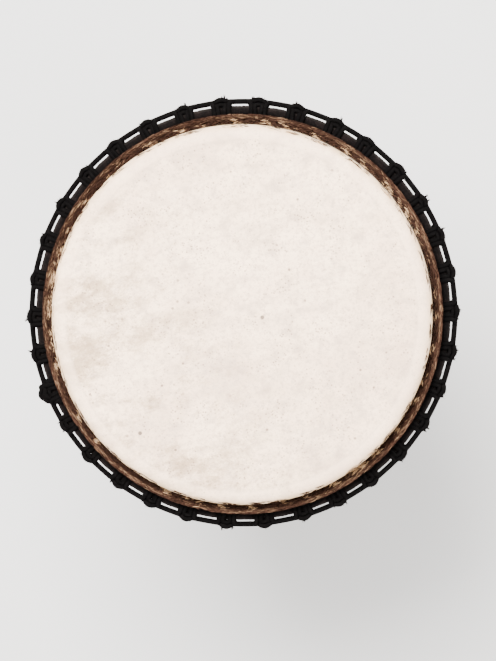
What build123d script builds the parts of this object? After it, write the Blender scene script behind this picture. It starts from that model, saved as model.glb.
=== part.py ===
"""Rope-tuned goblet hand drum: carved shell, goatskin head, three rings and the rope that pulls them.

The drum stands on its foot. +Z runs up its axis, the origin is the centre of the foot, sizes are mm.
"""

from build123d import *
import os
from math import asin, cos, degrees, radians, sin, sqrt, pi

os.makedirs("parts", exist_ok=True)

# ---------------------------------------------------------------- driving dimensions
shell_height = 600.0  # foot to the crest of the bearing edge
bowl_r = 167.5  # outside of the bowl below the bearing edge
bowl_arc_z = 558.0  # the bowl's side is upright above this height
bowl_wall = 12.0
edge_round = 9.0  # outer round of the bearing edge
inner_edge_round = 3.0
waist_r = 84.0  # outside of the stem where it meets the bowl
waist_meets_bowl_z = 336.0
waist_bottom_z = 300.0  # the stem starts to flare below this height
throat_r = 64.0
foot_r = 130.0
foot_wall = 12.0
foot_round = 3.0

rope_d = 3.6
station_count = 34
first_station_deg = 0.7
touch = 0.2  # gap between a rope and what it is pulled against
lacing_clear = 3.1  # gap between the bowl and the lacing that runs over it

rod_d = 6.0  # the three steel rings
cloth_wrap = 1.0  # cloth wound round the crown ring and the lower ring
crown_ring_r = 180.8
crown_ring_z = 566.0
flesh_ring_r = 174.8
lower_ring_r = 98.0

skin_t = 1.0
skin_gap = 0.1
collar_gap = 1.2  # between the skin's side and the collar that rises outside it
collar_rise = 17.0  # top of the hairy collar above the crown ring
collar_lip_r = 177.4

crown_loop = 36.0  # length of the loops below the crown ring
lower_loop = 22.0  # length of the loops above the lower ring
loop_drop = 3.0  # from a ring's rope turns to the start of a loop
link_lead = 9.0  # length of lacing that lies along a loop's legs
cradle_corner_r = 30.0  # bends of the ropes that run on from hitch to hitch
lacing_bend_r = 250.0  # bends of the lacing over the bowl
leg_bend_r = 60.0  # bends of the lacing where it leaves a loop
knot_shift = 9.4  # from a hitch's middle to the turns of the joined ends
knot_station = 23  # station of the crown rope's joined ends, counted clockwise from +Y
tie_off_station = 9  # station of the lacing's end and of the lower rope's joined ends

# ---------------------------------------------------------------- sizes that follow
rope_r = rope_d / 2
rod_r = rod_d / 2
wrap_r = rod_r + cloth_wrap
spacing_deg = 360 / station_count
strand_r = wrap_r + rope_r + touch  # from a wrapped ring's middle to the middle of a rope turn on it
link_r = rope_d + 0.3  # turn of one rope round another
loop_half = rope_d + 0.9  # half the width of a loop at its end

# The bowl's outside is an arc through (bowl_r, bowl_arc_z) and (waist_r, waist_meets_bowl_z).
arc_drop = bowl_arc_z - waist_meets_bowl_z
bowl_arc_r = ((bowl_r - waist_r) ** 2 + arc_drop**2) / (2 * (bowl_r - waist_r))
bowl_arc_x = bowl_r - bowl_arc_r
throat_meets_bowl_z = bowl_arc_z - sqrt((bowl_arc_r - bowl_wall) ** 2 - (throat_r - bowl_arc_x) ** 2)

# The flesh ring hangs under the crown ring, with the skin and one rope turn between them.
slack = 0.3
ring_gap = wrap_r + rope_d + touch + skin_t + skin_gap + rod_r + slack
flesh_ring_z = crown_ring_z - sqrt(ring_gap**2 - (crown_ring_r - flesh_ring_r) ** 2)

# The lower ring is pulled up under the bowl, with one rope turn between them.
lower_reach = bowl_arc_r + wrap_r + rope_d + touch + slack
lower_ring_z = bowl_arc_z - sqrt(lower_reach**2 - (lower_ring_r - bowl_arc_x) ** 2)

lacing_reach = bowl_arc_r + rope_r + lacing_clear

cradle_clear = rope_d + 0.85  # from a rope turn to the rope that runs on across it
crown_cradle_r = crown_ring_r + strand_r + cradle_clear
lower_cradle_r = lower_ring_r + strand_r + cradle_clear


# ---------------------------------------------------------------- helpers
def at_angle(point, angle_deg):
    """Turn a point given as (outward, sideways, up) by an angle about the drum's axis."""
    return Vector(*point).rotate(Axis.Z, angle_deg)


def pull_direction(start, side):
    """Unit vector in the (outward, up) plane from a point, just clear of the bowl's arc.

    side is -1 for a rope that goes down to the bowl and 1 for one that goes up to it.
    """
    outward = start[0] - bowl_arc_x
    up = start[1] - bowl_arc_z
    distance = sqrt(outward**2 + up**2)
    lean = asin(lacing_reach / distance)
    towards = Vector(-outward, -up).normalized()
    turned = towards.rotate(Axis.Z, -side * degrees(lean))
    return turned.X, turned.Y


def rope_report(name, path, solid):
    """Print a rope's length and tightest turn, and its volume over its section times its length."""
    length = sum(edge.length for edge in path.edges())
    tightest = min(edge.radius for edge in path.edges().filter_by(GeomType.CIRCLE))
    share = solid.volume / (pi * rope_r**2 * length)
    print(f"{name}: length {length:.1f}, tightest turn {tightest:.2f}, volume share {share:.4f}")


def hitch_points(ring_r, ring_z, side, tip):
    """Route of one hitch: turns of rope round the ring on both sides of a loop that ends at tip.

    side is -1 when the loop hangs down and 1 when it stands up.
    """
    front = ring_r + strand_r
    back = ring_r - strand_r
    near = ring_z + side * strand_r
    far = ring_z - side * strand_r
    end, back_near, back_far, crossing, leg = hitch_offsets
    half = [
        (front, -end, ring_z - side * hitch_overhang),
        (front, -end, near),
        (back, -back_near, near),
        (back, -back_far, far),
        (front, -crossing, far),
        (front, -leg, near + side * loop_drop),
        (tip[0], -loop_half, tip[1]),
    ]
    other_half = [(x, -y, z) for x, y, z in reversed(half)]
    return half + other_half


hitch_offsets = [5.6, 4.9, 4.0, 2.6, 1.95]  # sideways, from the rope's end to the top of a loop's leg
hitch_overhang = 1.5  # how far the rope's end stands past the ring's middle
hitch_radii = [5.0, 5.5, 5.5, 5.3, 10.0, loop_half - 0.6]
hitch_radii = hitch_radii + hitch_radii[::-1]

# ---------------------------------------------------------------- where the ropes are pulled
crown_front = (crown_ring_r + strand_r, crown_ring_z - strand_r - loop_drop)
crown_pull = pull_direction(crown_front, -1)
crown_tip = tuple(p + d * crown_loop for p, d in zip(crown_front, crown_pull))

lower_front = (lower_ring_r + strand_r, lower_ring_z + strand_r + loop_drop)
lower_pull = pull_direction(lower_front, 1)
lower_tip = tuple(p + d * lower_loop for p, d in zip(lower_front, lower_pull))

# ---------------------------------------------------------------- shell
with BuildPart() as shell:
    with BuildSketch(Plane.XZ):
        with BuildLine():
            outer_foot = (foot_r, 0)
            foot_arc_r = ((foot_r - waist_r) ** 2 + waist_bottom_z**2) / (2 * (foot_r - waist_r))
            throat_rise = foot_r - foot_wall - throat_r
            throat_arc_r = (throat_rise**2 + waist_bottom_z**2) / (2 * throat_rise)
            RadiusArc(outer_foot, (waist_r, waist_bottom_z), foot_arc_r)
            Line((waist_r, waist_bottom_z), (waist_r, waist_meets_bowl_z))
            RadiusArc((waist_r, waist_meets_bowl_z), (bowl_r, bowl_arc_z), -bowl_arc_r)
            Line((bowl_r, bowl_arc_z), (bowl_r, shell_height - edge_round))
            RadiusArc((bowl_r, shell_height - edge_round), (bowl_r - edge_round, shell_height), -edge_round)
            inner_edge = (bowl_r - bowl_wall, shell_height - inner_edge_round)
            RadiusArc((bowl_r - edge_round, shell_height), inner_edge, -inner_edge_round)
            Line(inner_edge, (bowl_r - bowl_wall, bowl_arc_z))
            throat_top = (throat_r, throat_meets_bowl_z)
            RadiusArc((bowl_r - bowl_wall, bowl_arc_z), throat_top, bowl_arc_r - bowl_wall)
            Line(throat_top, (throat_r, waist_bottom_z))
            RadiusArc((throat_r, waist_bottom_z), (foot_r - foot_wall, 0), -throat_arc_r)
            Line((foot_r - foot_wall, 0), outer_foot)
        make_face()
    revolve(axis=Axis.Z)
    fillet(shell.edges().group_by(Axis.Z)[0], foot_round)

# ---------------------------------------------------------------- skin: head, fold and hairy collar
fold_r = rod_r + skin_gap + skin_t / 2
skin_side = bowl_r + skin_gap + skin_t / 2
collar_r = skin_side + skin_t + collar_gap
fold_corner = fold_r - 0.02  # the fold is round, with a short straight between its corners
with BuildPart() as drum_skin:
    with BuildSketch(Plane.XZ):
        with BuildLine():
            FilletPolyline(
                (0, shell_height + skin_t / 2),
                (skin_side, shell_height + skin_t / 2),
                (skin_side, flesh_ring_z - fold_r),
                (flesh_ring_r + fold_r, flesh_ring_z - fold_r),
                (flesh_ring_r + fold_r, flesh_ring_z + fold_r),
                (collar_r, flesh_ring_z + fold_r),
                (collar_r, crown_ring_z + collar_rise / 2),
                (collar_lip_r, crown_ring_z + collar_rise),
                radius=[edge_round + skin_t / 2, 3.5, fold_corner, fold_corner, 3.0, 10.0],
            )
        trace(line_width=skin_t)
    revolve(axis=Axis.Z)

# ---------------------------------------------------------------- steel rings and their cloth
with BuildPart() as flesh_ring:
    with BuildSketch(Plane.XZ):
        with Locations((flesh_ring_r, flesh_ring_z)):
            Circle(rod_r)
    revolve(axis=Axis.Z)

with BuildPart() as crown_ring:
    with BuildSketch(Plane.XZ):
        with Locations((crown_ring_r, crown_ring_z)):
            Circle(rod_r)
    revolve(axis=Axis.Z)

with BuildPart() as crown_ring_wrap:
    with BuildSketch(Plane.XZ):
        with Locations((crown_ring_r, crown_ring_z)):
            Circle(wrap_r)
            Circle(rod_r, mode=Mode.SUBTRACT)
    revolve(axis=Axis.Z)

with BuildPart() as lower_ring:
    with BuildSketch(Plane.XZ):
        with Locations((lower_ring_r, lower_ring_z)):
            Circle(rod_r)
    revolve(axis=Axis.Z)

with BuildPart() as lower_ring_wrap:
    with BuildSketch(Plane.XZ):
        with Locations((lower_ring_r, lower_ring_z)):
            Circle(wrap_r)
            Circle(rod_r, mode=Mode.SUBTRACT)
    revolve(axis=Axis.Z)

# ---------------------------------------------------------------- hitches on the two rings
with BuildPart() as crown_hitch:
    with BuildLine() as crown_hitch_path:
        FilletPolyline(hitch_points(crown_ring_r, crown_ring_z, -1, crown_tip), radius=hitch_radii)
    with BuildSketch(Plane(origin=crown_hitch_path.line @ 0, z_dir=crown_hitch_path.line % 0)):
        Circle(rope_r)
    sweep()
rope_report("crown hitch", crown_hitch_path.line, crown_hitch.part)

with BuildPart() as crown_hitches:
    with PolarLocations(0, station_count, first_station_deg):
        add(crown_hitch.part)

with BuildPart() as lower_hitch:
    with BuildLine() as lower_hitch_path:
        FilletPolyline(hitch_points(lower_ring_r, lower_ring_z, 1, lower_tip), radius=hitch_radii)
    with BuildSketch(Plane(origin=lower_hitch_path.line @ 0, z_dir=lower_hitch_path.line % 0)):
        Circle(rope_r)
    sweep()
rope_report("lower hitch", lower_hitch_path.line, lower_hitch.part)

with BuildPart() as lower_hitches:
    with PolarLocations(0, station_count, first_station_deg + spacing_deg / 2):
        add(lower_hitch.part)

# ---------------------------------------------------------------- rope that runs on from hitch to hitch
crown_corners = [
    at_angle((crown_cradle_r, 0, crown_ring_z), first_station_deg + spacing_deg * i)
    for i in range(station_count)
]
with BuildPart() as crown_cradle_rope:
    with BuildLine() as crown_cradle_path:
        FilletPolyline(crown_corners, radius=cradle_corner_r, close=True)
    with BuildSketch(Plane(origin=crown_cradle_path.line @ 0, z_dir=crown_cradle_path.line % 0)):
        Circle(rope_r)
    sweep()
rope_report("crown cradle rope", crown_cradle_path.line, crown_cradle_rope.part)

lower_corners = [
    at_angle((lower_cradle_r, 0, lower_ring_z), first_station_deg + spacing_deg * (i + 0.5))
    for i in range(station_count)
]
with BuildPart() as lower_cradle_rope:
    with BuildLine() as lower_cradle_path:
        FilletPolyline(lower_corners, radius=cradle_corner_r, close=True)
    with BuildSketch(Plane(origin=lower_cradle_path.line @ 0, z_dir=lower_cradle_path.line % 0)):
        Circle(rope_r)
    sweep()
rope_report("lower cradle rope", lower_cradle_path.line, lower_cradle_rope.part)

# ---------------------------------------------------------------- joined ends of the two ring ropes
knot_deg = first_station_deg + spacing_deg * (8 - knot_station)
knot_shift_deg = degrees(asin(knot_shift / crown_ring_r))
with BuildPart() as crown_rope_knot:
    for turn_deg in (knot_deg - knot_shift_deg, knot_deg + knot_shift_deg):
        turn_middle = at_angle((crown_ring_r, 0, crown_ring_z), turn_deg)
        with Locations(Plane(origin=turn_middle, z_dir=at_angle((0, 1, 0), turn_deg))):
            Torus(strand_r, rope_r)

lower_knot_r = rope_d + touch
with BuildPart() as lower_rope_knot:
    lower_knot_deg = first_station_deg + spacing_deg * (0.5 + tie_off_station)
    lower_knot_z = lower_ring_z - rope_d - lower_knot_r - touch / 2
    lower_knot_middle = at_angle((lower_cradle_r, 0, lower_knot_z), lower_knot_deg)
    outward = at_angle((1, 0, 0), lower_knot_deg)
    with Locations(Plane(origin=lower_knot_middle, z_dir=outward)):
        Torus(lower_knot_r, rope_r)
    with Locations(Plane(origin=lower_knot_middle, z_dir=at_angle((0, 1, 0), lower_knot_deg))):
        Torus(lower_knot_r, rope_r)

# ---------------------------------------------------------------- lacing between the two rows of loops
def link_points(tip, pull, angle_deg):
    """Route of the lacing through one loop: outside, over the loop's end, inside."""
    along = Vector(pull[0], 0, pull[1])
    out = Vector(-pull[1], 0, pull[0]) if pull[1] < 0 else Vector(pull[1], 0, -pull[0])
    end = Vector(tip[0], 0, tip[1])
    outside = [end + out * link_r + along * link_lead, end + out * link_r - along * link_r]
    inside = [end - out * link_r - along * link_r, end - out * link_r + along * link_lead]
    return [at_angle(p, angle_deg) for p in outside + inside]


crown_touch_deg = degrees(asin(crown_pull[0]))
lower_touch_deg = -degrees(asin(lower_pull[0]))
bend_deg = (crown_touch_deg + lower_touch_deg) / 2
bend_reach = lacing_reach / cos(radians((crown_touch_deg - lower_touch_deg) / 2))
bend = (bowl_arc_x + bend_reach * cos(radians(bend_deg)), 0, bowl_arc_z + bend_reach * sin(radians(bend_deg)))

crown_link = link_points(crown_tip, crown_pull, 0)
lower_link = link_points(lower_tip, lower_pull, spacing_deg / 2)[::-1]
bend_before = at_angle(bend, -spacing_deg / 4)
bend_inside = at_angle(bend, spacing_deg / 4)
bend_after = at_angle(bend, spacing_deg * 3 / 4)
run_start = (bend_before + crown_link[0]) / 2
run_end = run_start.rotate(Axis.Z, spacing_deg)
link_radii = [leg_bend_r, link_r - 0.05, link_r - 0.05, leg_bend_r]

with BuildPart() as lacing_run:
    with BuildLine() as lacing_path:
        FilletPolyline(
            [run_start] + crown_link + [bend_inside] + lower_link + [bend_after, run_end],
            radius=link_radii + [lacing_bend_r] + link_radii + [lacing_bend_r],
        )
    with BuildSketch(Plane(origin=lacing_path.line @ 0, z_dir=lacing_path.line % 0)):
        Circle(rope_r)
    sweep()
rope_report("one run of the lacing", lacing_path.line, lacing_run.part)

with BuildPart() as lacing:
    with PolarLocations(0, station_count, first_station_deg):
        add(lacing_run.part)

# The lacing's end is hitched three times round one of its own runs, half-way to the bowl.
tie_start = lower_link[3].rotate(Axis.Z, first_station_deg + spacing_deg * tie_off_station)
tie_end = bend_after.rotate(Axis.Z, first_station_deg + spacing_deg * tie_off_station)
tie_way = (tie_end - tie_start).normalized()
tie_middle = (tie_start + tie_end) / 2
with BuildPart() as lacing_tie_off:
    for turn in (-1, 0, 1):
        with Locations(Plane(origin=tie_middle + tie_way * turn * (rope_d + touch), z_dir=tie_way)):
            Torus(rope_d + touch, rope_r)

# ---------------------------------------------------------------- write every piece
pieces = {
    "shell": shell,
    "drum_skin": drum_skin,
    "flesh_ring": flesh_ring,
    "crown_ring": crown_ring,
    "crown_ring_wrap": crown_ring_wrap,
    "crown_hitches": crown_hitches,
    "crown_cradle_rope": crown_cradle_rope,
    "crown_rope_knot": crown_rope_knot,
    "lower_ring": lower_ring,
    "lower_ring_wrap": lower_ring_wrap,
    "lower_hitches": lower_hitches,
    "lower_cradle_rope": lower_cradle_rope,
    "lower_rope_knot": lower_rope_knot,
    "lacing": lacing,
    "lacing_tie_off": lacing_tie_off,
}
for name, piece in pieces.items():
    piece.part.label = name
    export_step(piece.part, f"parts/{name}.step")
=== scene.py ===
"""Rope-tuned goblet hand drum: skin, hair, rope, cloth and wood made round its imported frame.

Everything is in metres in the drum's own frame: +Z up its axis, origin at the centre of the foot.
"""

from __future__ import annotations

import logging
import math
from dataclasses import dataclass
from enum import Enum
from itertools import accumulate

import bpy
import numpy as np
from mathutils import Matrix, Vector


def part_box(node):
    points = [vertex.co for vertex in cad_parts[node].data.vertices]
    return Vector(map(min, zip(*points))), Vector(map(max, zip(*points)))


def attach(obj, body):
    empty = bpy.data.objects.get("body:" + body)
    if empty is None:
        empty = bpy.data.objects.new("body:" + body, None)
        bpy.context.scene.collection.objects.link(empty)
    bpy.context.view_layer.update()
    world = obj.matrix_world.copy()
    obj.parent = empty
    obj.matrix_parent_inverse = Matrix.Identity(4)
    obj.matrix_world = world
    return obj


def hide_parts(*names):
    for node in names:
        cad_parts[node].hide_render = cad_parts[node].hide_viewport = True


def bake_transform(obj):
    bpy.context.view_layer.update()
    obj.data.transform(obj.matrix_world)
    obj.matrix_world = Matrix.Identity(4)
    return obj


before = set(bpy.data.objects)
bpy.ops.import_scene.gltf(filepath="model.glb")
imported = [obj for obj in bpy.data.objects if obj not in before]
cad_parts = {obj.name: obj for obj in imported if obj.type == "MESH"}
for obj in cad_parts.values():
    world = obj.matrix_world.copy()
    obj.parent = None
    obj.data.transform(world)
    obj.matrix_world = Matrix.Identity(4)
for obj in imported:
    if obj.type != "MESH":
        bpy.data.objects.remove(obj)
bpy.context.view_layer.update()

log = logging.getLogger("drum")
MM = 0.001
TURN = 2 * math.pi
Colour = tuple[float, float, float, float]


class Body(str, Enum):
    """The two rigid bodies of the frame."""

    DRUM = "drum_body"
    CROWN = "crown"


class Slot(str, Enum):
    """The record's material slots."""

    WOOD = "shell_wood"
    SKIN = "goatskin"
    STEEL = "ring_steel"
    CLOTH = "wrap_cloth"
    ROPE = "rope"


# ------------------------------------------------------------------------------------ sizes
def ring_of(node: str) -> tuple[float, float, float]:
    """Middle radius, height and section radius of a round ring node.

    Args:
        node: name of a ring in the frame.

    Returns:
        The ring's middle radius, its height and the radius of its section.
    """
    low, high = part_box(node)
    section = (high[2] - low[2]) / 2
    return high[0] - section, (high[2] + low[2]) / 2, section


@dataclass(frozen=True)
class DrumSizes:
    """Sizes that the pieces share, read from the frame's boxes and the design's driving values."""

    crown_r: float
    crown_z: float
    lower_r: float
    lower_z: float
    wrap_r: float
    rod_r: float
    flesh_r: float
    flesh_z: float
    rope_r: float
    head_z: float
    bowl_r: float
    skin_t: float = 1.0 * MM
    skin_gap: float = 0.1 * MM
    edge_round: float = 9.0 * MM
    bowl_wall: float = 12.0 * MM
    bowl_arc_z: float = 558.0 * MM
    waist_r: float = 84.0 * MM
    waist_meets_bowl_z: float = 336.0 * MM
    waist_bottom_z: float = 300.0 * MM
    throat_r: float = 64.0 * MM
    foot_r: float = 130.0 * MM
    foot_wall: float = 12.0 * MM
    collar_rise: float = 17.0 * MM
    collar_lip_r: float = 177.4 * MM
    stations: int = 34
    first_station: float = math.radians(0.7)

    @classmethod
    def from_frame(cls) -> "DrumSizes":
        """Read the ring, rope and head sizes from the frame's boxes.

        Returns:
            The sizes.
        """
        crown_r, crown_z, wrap_r = ring_of("crown_ring_wrap")
        lower_r, lower_z, _ = ring_of("lower_ring_wrap")
        flesh_r, flesh_z, rod_r = ring_of("flesh_ring")
        cradle_low, cradle_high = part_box("crown_cradle_rope")
        return cls(
            crown_r=crown_r,
            crown_z=crown_z,
            lower_r=lower_r,
            lower_z=lower_z,
            wrap_r=wrap_r,
            rod_r=rod_r,
            flesh_r=flesh_r,
            flesh_z=flesh_z,
            rope_r=(cradle_high[2] - cradle_low[2]) / 2,
            head_z=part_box("drum_skin")[1][2],
            bowl_r=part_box("shell")[1][0],
        )

    @property
    def spacing(self) -> float:
        """Angle from one hitch to the next."""
        return TURN / self.stations

    @property
    def strand_r(self) -> float:
        """From a wrapped ring's middle to the middle of a rope turn on it."""
        return self.wrap_r + self.rope_r + 0.2 * MM

    @property
    def bowl_arc_r(self) -> float:
        """Radius of the arc of the bowl's outside."""
        drop = self.bowl_arc_z - self.waist_meets_bowl_z
        return ((self.bowl_r - self.waist_r) ** 2 + drop**2) / (2 * (self.bowl_r - self.waist_r))

    @property
    def bowl_arc_x(self) -> float:
        """Distance of that arc's middle from the axis, negative past the axis."""
        return self.bowl_r - self.bowl_arc_r


# ------------------------------------------------------------------------------------ meshes
def grid_mesh(
    name: str,
    points: np.ndarray,
    uv_u: np.ndarray | None = None,
    uv_v: np.ndarray | None = None,
    closed_i: bool = False,
    tone: np.ndarray | None = None,
) -> bpy.types.Object:
    """Make one mesh from a stack of grids that are closed round j, and round i where asked.

    A quad joins (i, j), (i, j+1), (i+1, j+1), (i+1, j), so its face looks outwards when i runs along
    and j runs anticlockwise round the way of i. Open ends get one flat face each.

    Args:
        name: name of the object and its mesh.
        points: positions, shaped (copies, along, round, 3).
        uv_u: along coordinate of each row, in metres, with one row more on a closed grid.
        uv_v: round coordinate from 0 to 1, one more than there are columns.
        closed_i: whether the last row joins the first.
        tone: one number a vertex, shaped (copies, along, round), stored as the attribute "tone".

    Returns:
        The new object, linked to the scene.
    """
    copies, along, around = points.shape[:3]
    rows = along if closed_i else along - 1
    i, j = np.meshgrid(np.arange(rows), np.arange(around), indexing="ij")
    i_next, j_next = (i + 1) % along, (j + 1) % around
    here, there = i * around, i_next * around
    quad = np.stack([here + j, here + j_next, there + j_next, there + j], -1).reshape(-1, 4)
    offset = (np.arange(copies) * along * around)[:, None, None]
    quads = (quad[None] + offset).reshape(-1, 4)
    if closed_i:
        caps = np.zeros((0, around), int)
    else:
        first = np.arange(around)[::-1]
        last = (along - 1) * around + np.arange(around)
        caps = (np.stack([first, last])[None] + offset).reshape(-1, around)
    loops = np.concatenate([quads.ravel(), caps.ravel()])
    sizes = np.concatenate([np.full(len(quads), 4), np.full(len(caps), around)])
    mesh = bpy.data.meshes.new(name)
    mesh.vertices.add(copies * along * around)
    mesh.vertices.foreach_set("co", points.astype(np.float32).ravel())
    mesh.loops.add(len(loops))
    mesh.loops.foreach_set("vertex_index", loops.astype(np.int32))
    mesh.polygons.add(len(sizes))
    starts = np.concatenate([[0], np.cumsum(sizes)[:-1]])
    mesh.polygons.foreach_set("loop_start", starts.astype(np.int32))
    mesh.update(calc_edges=True)
    if uv_u is not None and uv_v is not None:
        low_u, high_u = uv_u[:-1][i], uv_u[1:][i]
        low_v, high_v = uv_v[:-1][j], uv_v[1:][j]
        corner_u = np.stack([low_u, low_u, high_u, high_u], -1).reshape(-1, 4)
        corner_v = np.stack([low_v, high_v, high_v, low_v], -1).reshape(-1, 4)
        corners = np.stack([corner_u, corner_v], -1).reshape(-1, 2)
        cap_uv = np.zeros((caps.size, 2))
        uv = np.concatenate([np.tile(corners, (copies, 1)), cap_uv])
        mesh.uv_layers.new(name="UVMap").data.foreach_set("uv", uv.astype(np.float32).ravel())
    if tone is not None:
        tones = mesh.attributes.new("tone", "FLOAT", "POINT")
        tones.data.foreach_set("value", tone.astype(np.float32).ravel())
    mesh.polygons.foreach_set("use_smooth", np.ones(len(sizes), bool))
    mesh.validate()
    made = bpy.data.objects.new(name, mesh)
    bpy.context.scene.collection.objects.link(made)
    return made


def around_axis(radius: np.ndarray, height: np.ndarray, angle: np.ndarray) -> np.ndarray:
    """Points at a radius, height and angle round the drum's axis: (r cos a, r sin a, z).

    Args:
        radius: radii.
        height: heights.
        angle: angles from +X, in radians.

    Returns:
        Positions with a last axis of 3.
    """
    radius, height, angle = np.broadcast_arrays(radius, height, angle)
    return np.stack([radius * np.cos(angle), radius * np.sin(angle), height], -1)


def turned(points: np.ndarray, angle: np.ndarray | float) -> np.ndarray:
    """Turn points round the drum's axis by an angle, or by one angle for each leading row.

    Args:
        points: positions with a last axis of 3.
        angle: angle or angles in radians.

    Returns:
        The turned positions.
    """
    angle = np.asarray(angle)
    cos, sin = np.cos(angle), np.sin(angle)
    x, y, z = points[..., 0], points[..., 1], points[..., 2]
    return np.stack([x * cos - y * sin, x * sin + y * cos, z + 0 * cos], -1)


def rope_line(controls: np.ndarray, step: float, closed: bool) -> np.ndarray:
    """Smooth line through a rope's route, sampled at an even step.

    The line is the uniform quadratic B-spline of the route's points: it touches the middle of each
    run, and bends round each point in between as (1-t)^2 A + 2 t (1-t) B + t^2 C.

    Args:
        controls: the route's points, shaped (points, 3).
        step: distance from one sample to the next.
        closed: whether the route joins up with its start.

    Returns:
        The samples, shaped (samples, 3).
    """
    if closed:
        before, after = np.roll(controls, 1, axis=0), np.roll(controls, -1, axis=0)
    else:
        before = np.concatenate([controls[:1], controls[:-1]])
        after = np.concatenate([controls[1:], controls[-1:]])
    start, end = (before + controls) / 2, (controls + after) / 2
    t = np.linspace(0, 1, 33)[:-1][None, :, None]
    curve = (1 - t) ** 2 * start[:, None] + 2 * t * (1 - t) * controls[:, None] + t**2 * end[:, None]
    curve = np.concatenate([curve.reshape(-1, 3), (start if closed else end)[[0 if closed else -1]]])
    length = np.concatenate([[0], np.cumsum(np.linalg.norm(np.diff(curve, axis=0), axis=1))])
    keep = np.concatenate([[True], np.diff(length) > 1e-9])
    curve, length = curve[keep], length[keep]
    count = max(8, round(length[-1] / step))
    at = np.linspace(0, length[-1], count + 1)[: count if closed else None]
    return np.stack([np.interp(at, length, curve[:, axis]) for axis in range(3)], -1)


def unit(vectors: np.ndarray) -> np.ndarray:
    """Vectors scaled to a length of one."""
    return vectors / np.maximum(np.linalg.norm(vectors, axis=-1, keepdims=True), 1e-12)


def section_frames(line: np.ndarray, closed: bool) -> tuple[np.ndarray, np.ndarray]:
    """Two directions across a line at each sample, carried along it without twist.

    Each step reflects the last direction in the plane between two samples and then in the plane
    between their tangents. On a closed line what twist is left is shared out evenly.

    Args:
        line: samples, shaped (samples, 3).
        closed: whether the line joins up with its start.

    Returns:
        The first and the second direction, each shaped (samples, 3).
    """
    if closed:
        tangent = unit(np.roll(line, -1, axis=0) - np.roll(line, 1, axis=0))
    else:
        tangent = unit(np.gradient(line, axis=0))
    seed = np.array([0.0, 0.0, 1.0]) if abs(tangent[0][2]) < 0.8 else np.array([1.0, 0.0, 0.0])
    first = unit(seed - tangent[0] * (tangent[0] @ seed))
    last = len(line) if closed else len(line) - 1
    steps = [(line[n % len(line)], line[(n + 1) % len(line)], n) for n in range(last)]

    def carry(across: np.ndarray, step: tuple[np.ndarray, np.ndarray, int]) -> np.ndarray:
        """Carry a direction across one step by two reflections.

        Args:
            across: direction at the step's start.
            step: the two samples, and the number of the first.

        Returns:
            The direction at the step's end.
        """
        here, there, n = step
        chord = there - here
        flipped = across - 2 * (chord @ across) / (chord @ chord) * chord
        flipped_tangent = tangent[n] - 2 * (chord @ tangent[n]) / (chord @ chord) * chord
        change = tangent[(n + 1) % len(line)] - flipped_tangent
        size = change @ change
        return flipped if size < 1e-18 else flipped - 2 * (change @ flipped) / size * change

    carried = np.array(list(accumulate(steps, carry, initial=first)))
    one = carried[: len(line)]
    two = np.cross(tangent, one)
    if closed:
        twist = math.atan2(carried[-1] @ two[0], carried[-1] @ one[0])
        back = -twist * np.arange(len(line)) / len(line)
        one, two = (
            one * np.cos(back)[:, None] + two * np.sin(back)[:, None],
            two * np.cos(back)[:, None] - one * np.sin(back)[:, None],
        )
    return one, two


def tube(line: np.ndarray, radius: np.ndarray | float, around: int, closed: bool) -> np.ndarray:
    """Surface of a rope: at each sample a circle of the given radius across the line.

    Args:
        line: samples, shaped (samples, 3).
        radius: one radius, or one for each sample and column.
        around: columns round the rope.
        closed: whether the line joins up with its start.

    Returns:
        Positions, shaped (samples, around, 3).
    """
    one, two = section_frames(line, closed)
    turn = np.arange(around) * TURN / around
    radius = np.broadcast_to(radius, (len(line), around))[..., None]
    across = np.cos(turn)[None, :, None] * one[:, None] + np.sin(turn)[None, :, None] * two[:, None]
    return line[:, None] + radius * across


def round_ends(count: int, step: float, radius: float) -> np.ndarray:
    """Radius along a rope whose two ends are rounded: sqrt(1 - (1 - s/r)^2) over the last radius.

    Args:
        count: number of samples.
        step: distance between two of them.
        radius: the rope's own radius.

    Returns:
        One radius for each sample.
    """
    from_end = np.minimum(np.arange(count), np.arange(count)[::-1]) * step + 0.08 * radius
    inward = np.clip(1 - from_end / radius, 0, 1)
    return radius * np.sqrt(1 - inward**2)


def rope_mesh(name: str, tubes: np.ndarray, step: float, closed: bool = False) -> bpy.types.Object:
    """Mesh of rope tubes, with UVs that run along and round the rope.

    Args:
        name: name of the piece.
        tubes: surfaces shaped (copies, samples, round, 3).
        step: length of rope between two samples.
        closed: whether each rope's last sample joins its first.

    Returns:
        The new object.
    """
    samples, around = tubes.shape[1:3]
    uv_u = np.arange(samples + closed) * step
    uv_v = np.arange(around + 1) / around
    return grid_mesh(name, tubes, uv_u, uv_v, closed_i=closed)


def strands(spine: np.ndarray, aside: tuple[float, float, float], width: np.ndarray) -> np.ndarray:
    """Surfaces of many three-sided strands, with a triangle round each sample of a spine.

    Args:
        spine: samples, shaped (strands, samples, 3).
        aside: a direction that no strand follows. The first corner lies across it and the strand.
        width: distance from spine to corner, shaped (strands, samples).

    Returns:
        Positions, shaped (strands, samples, 3, 3).
    """
    along = unit(np.gradient(spine, axis=1))
    one = unit(np.cross(along, np.array(aside)))
    two = np.cross(along, one)
    turn = (np.arange(3) * TURN / 3)[:, None]
    across = np.cos(turn) * one[:, :, None] + np.sin(turn) * two[:, :, None]
    return spine[:, :, None] + width[..., None, None] * across


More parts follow.
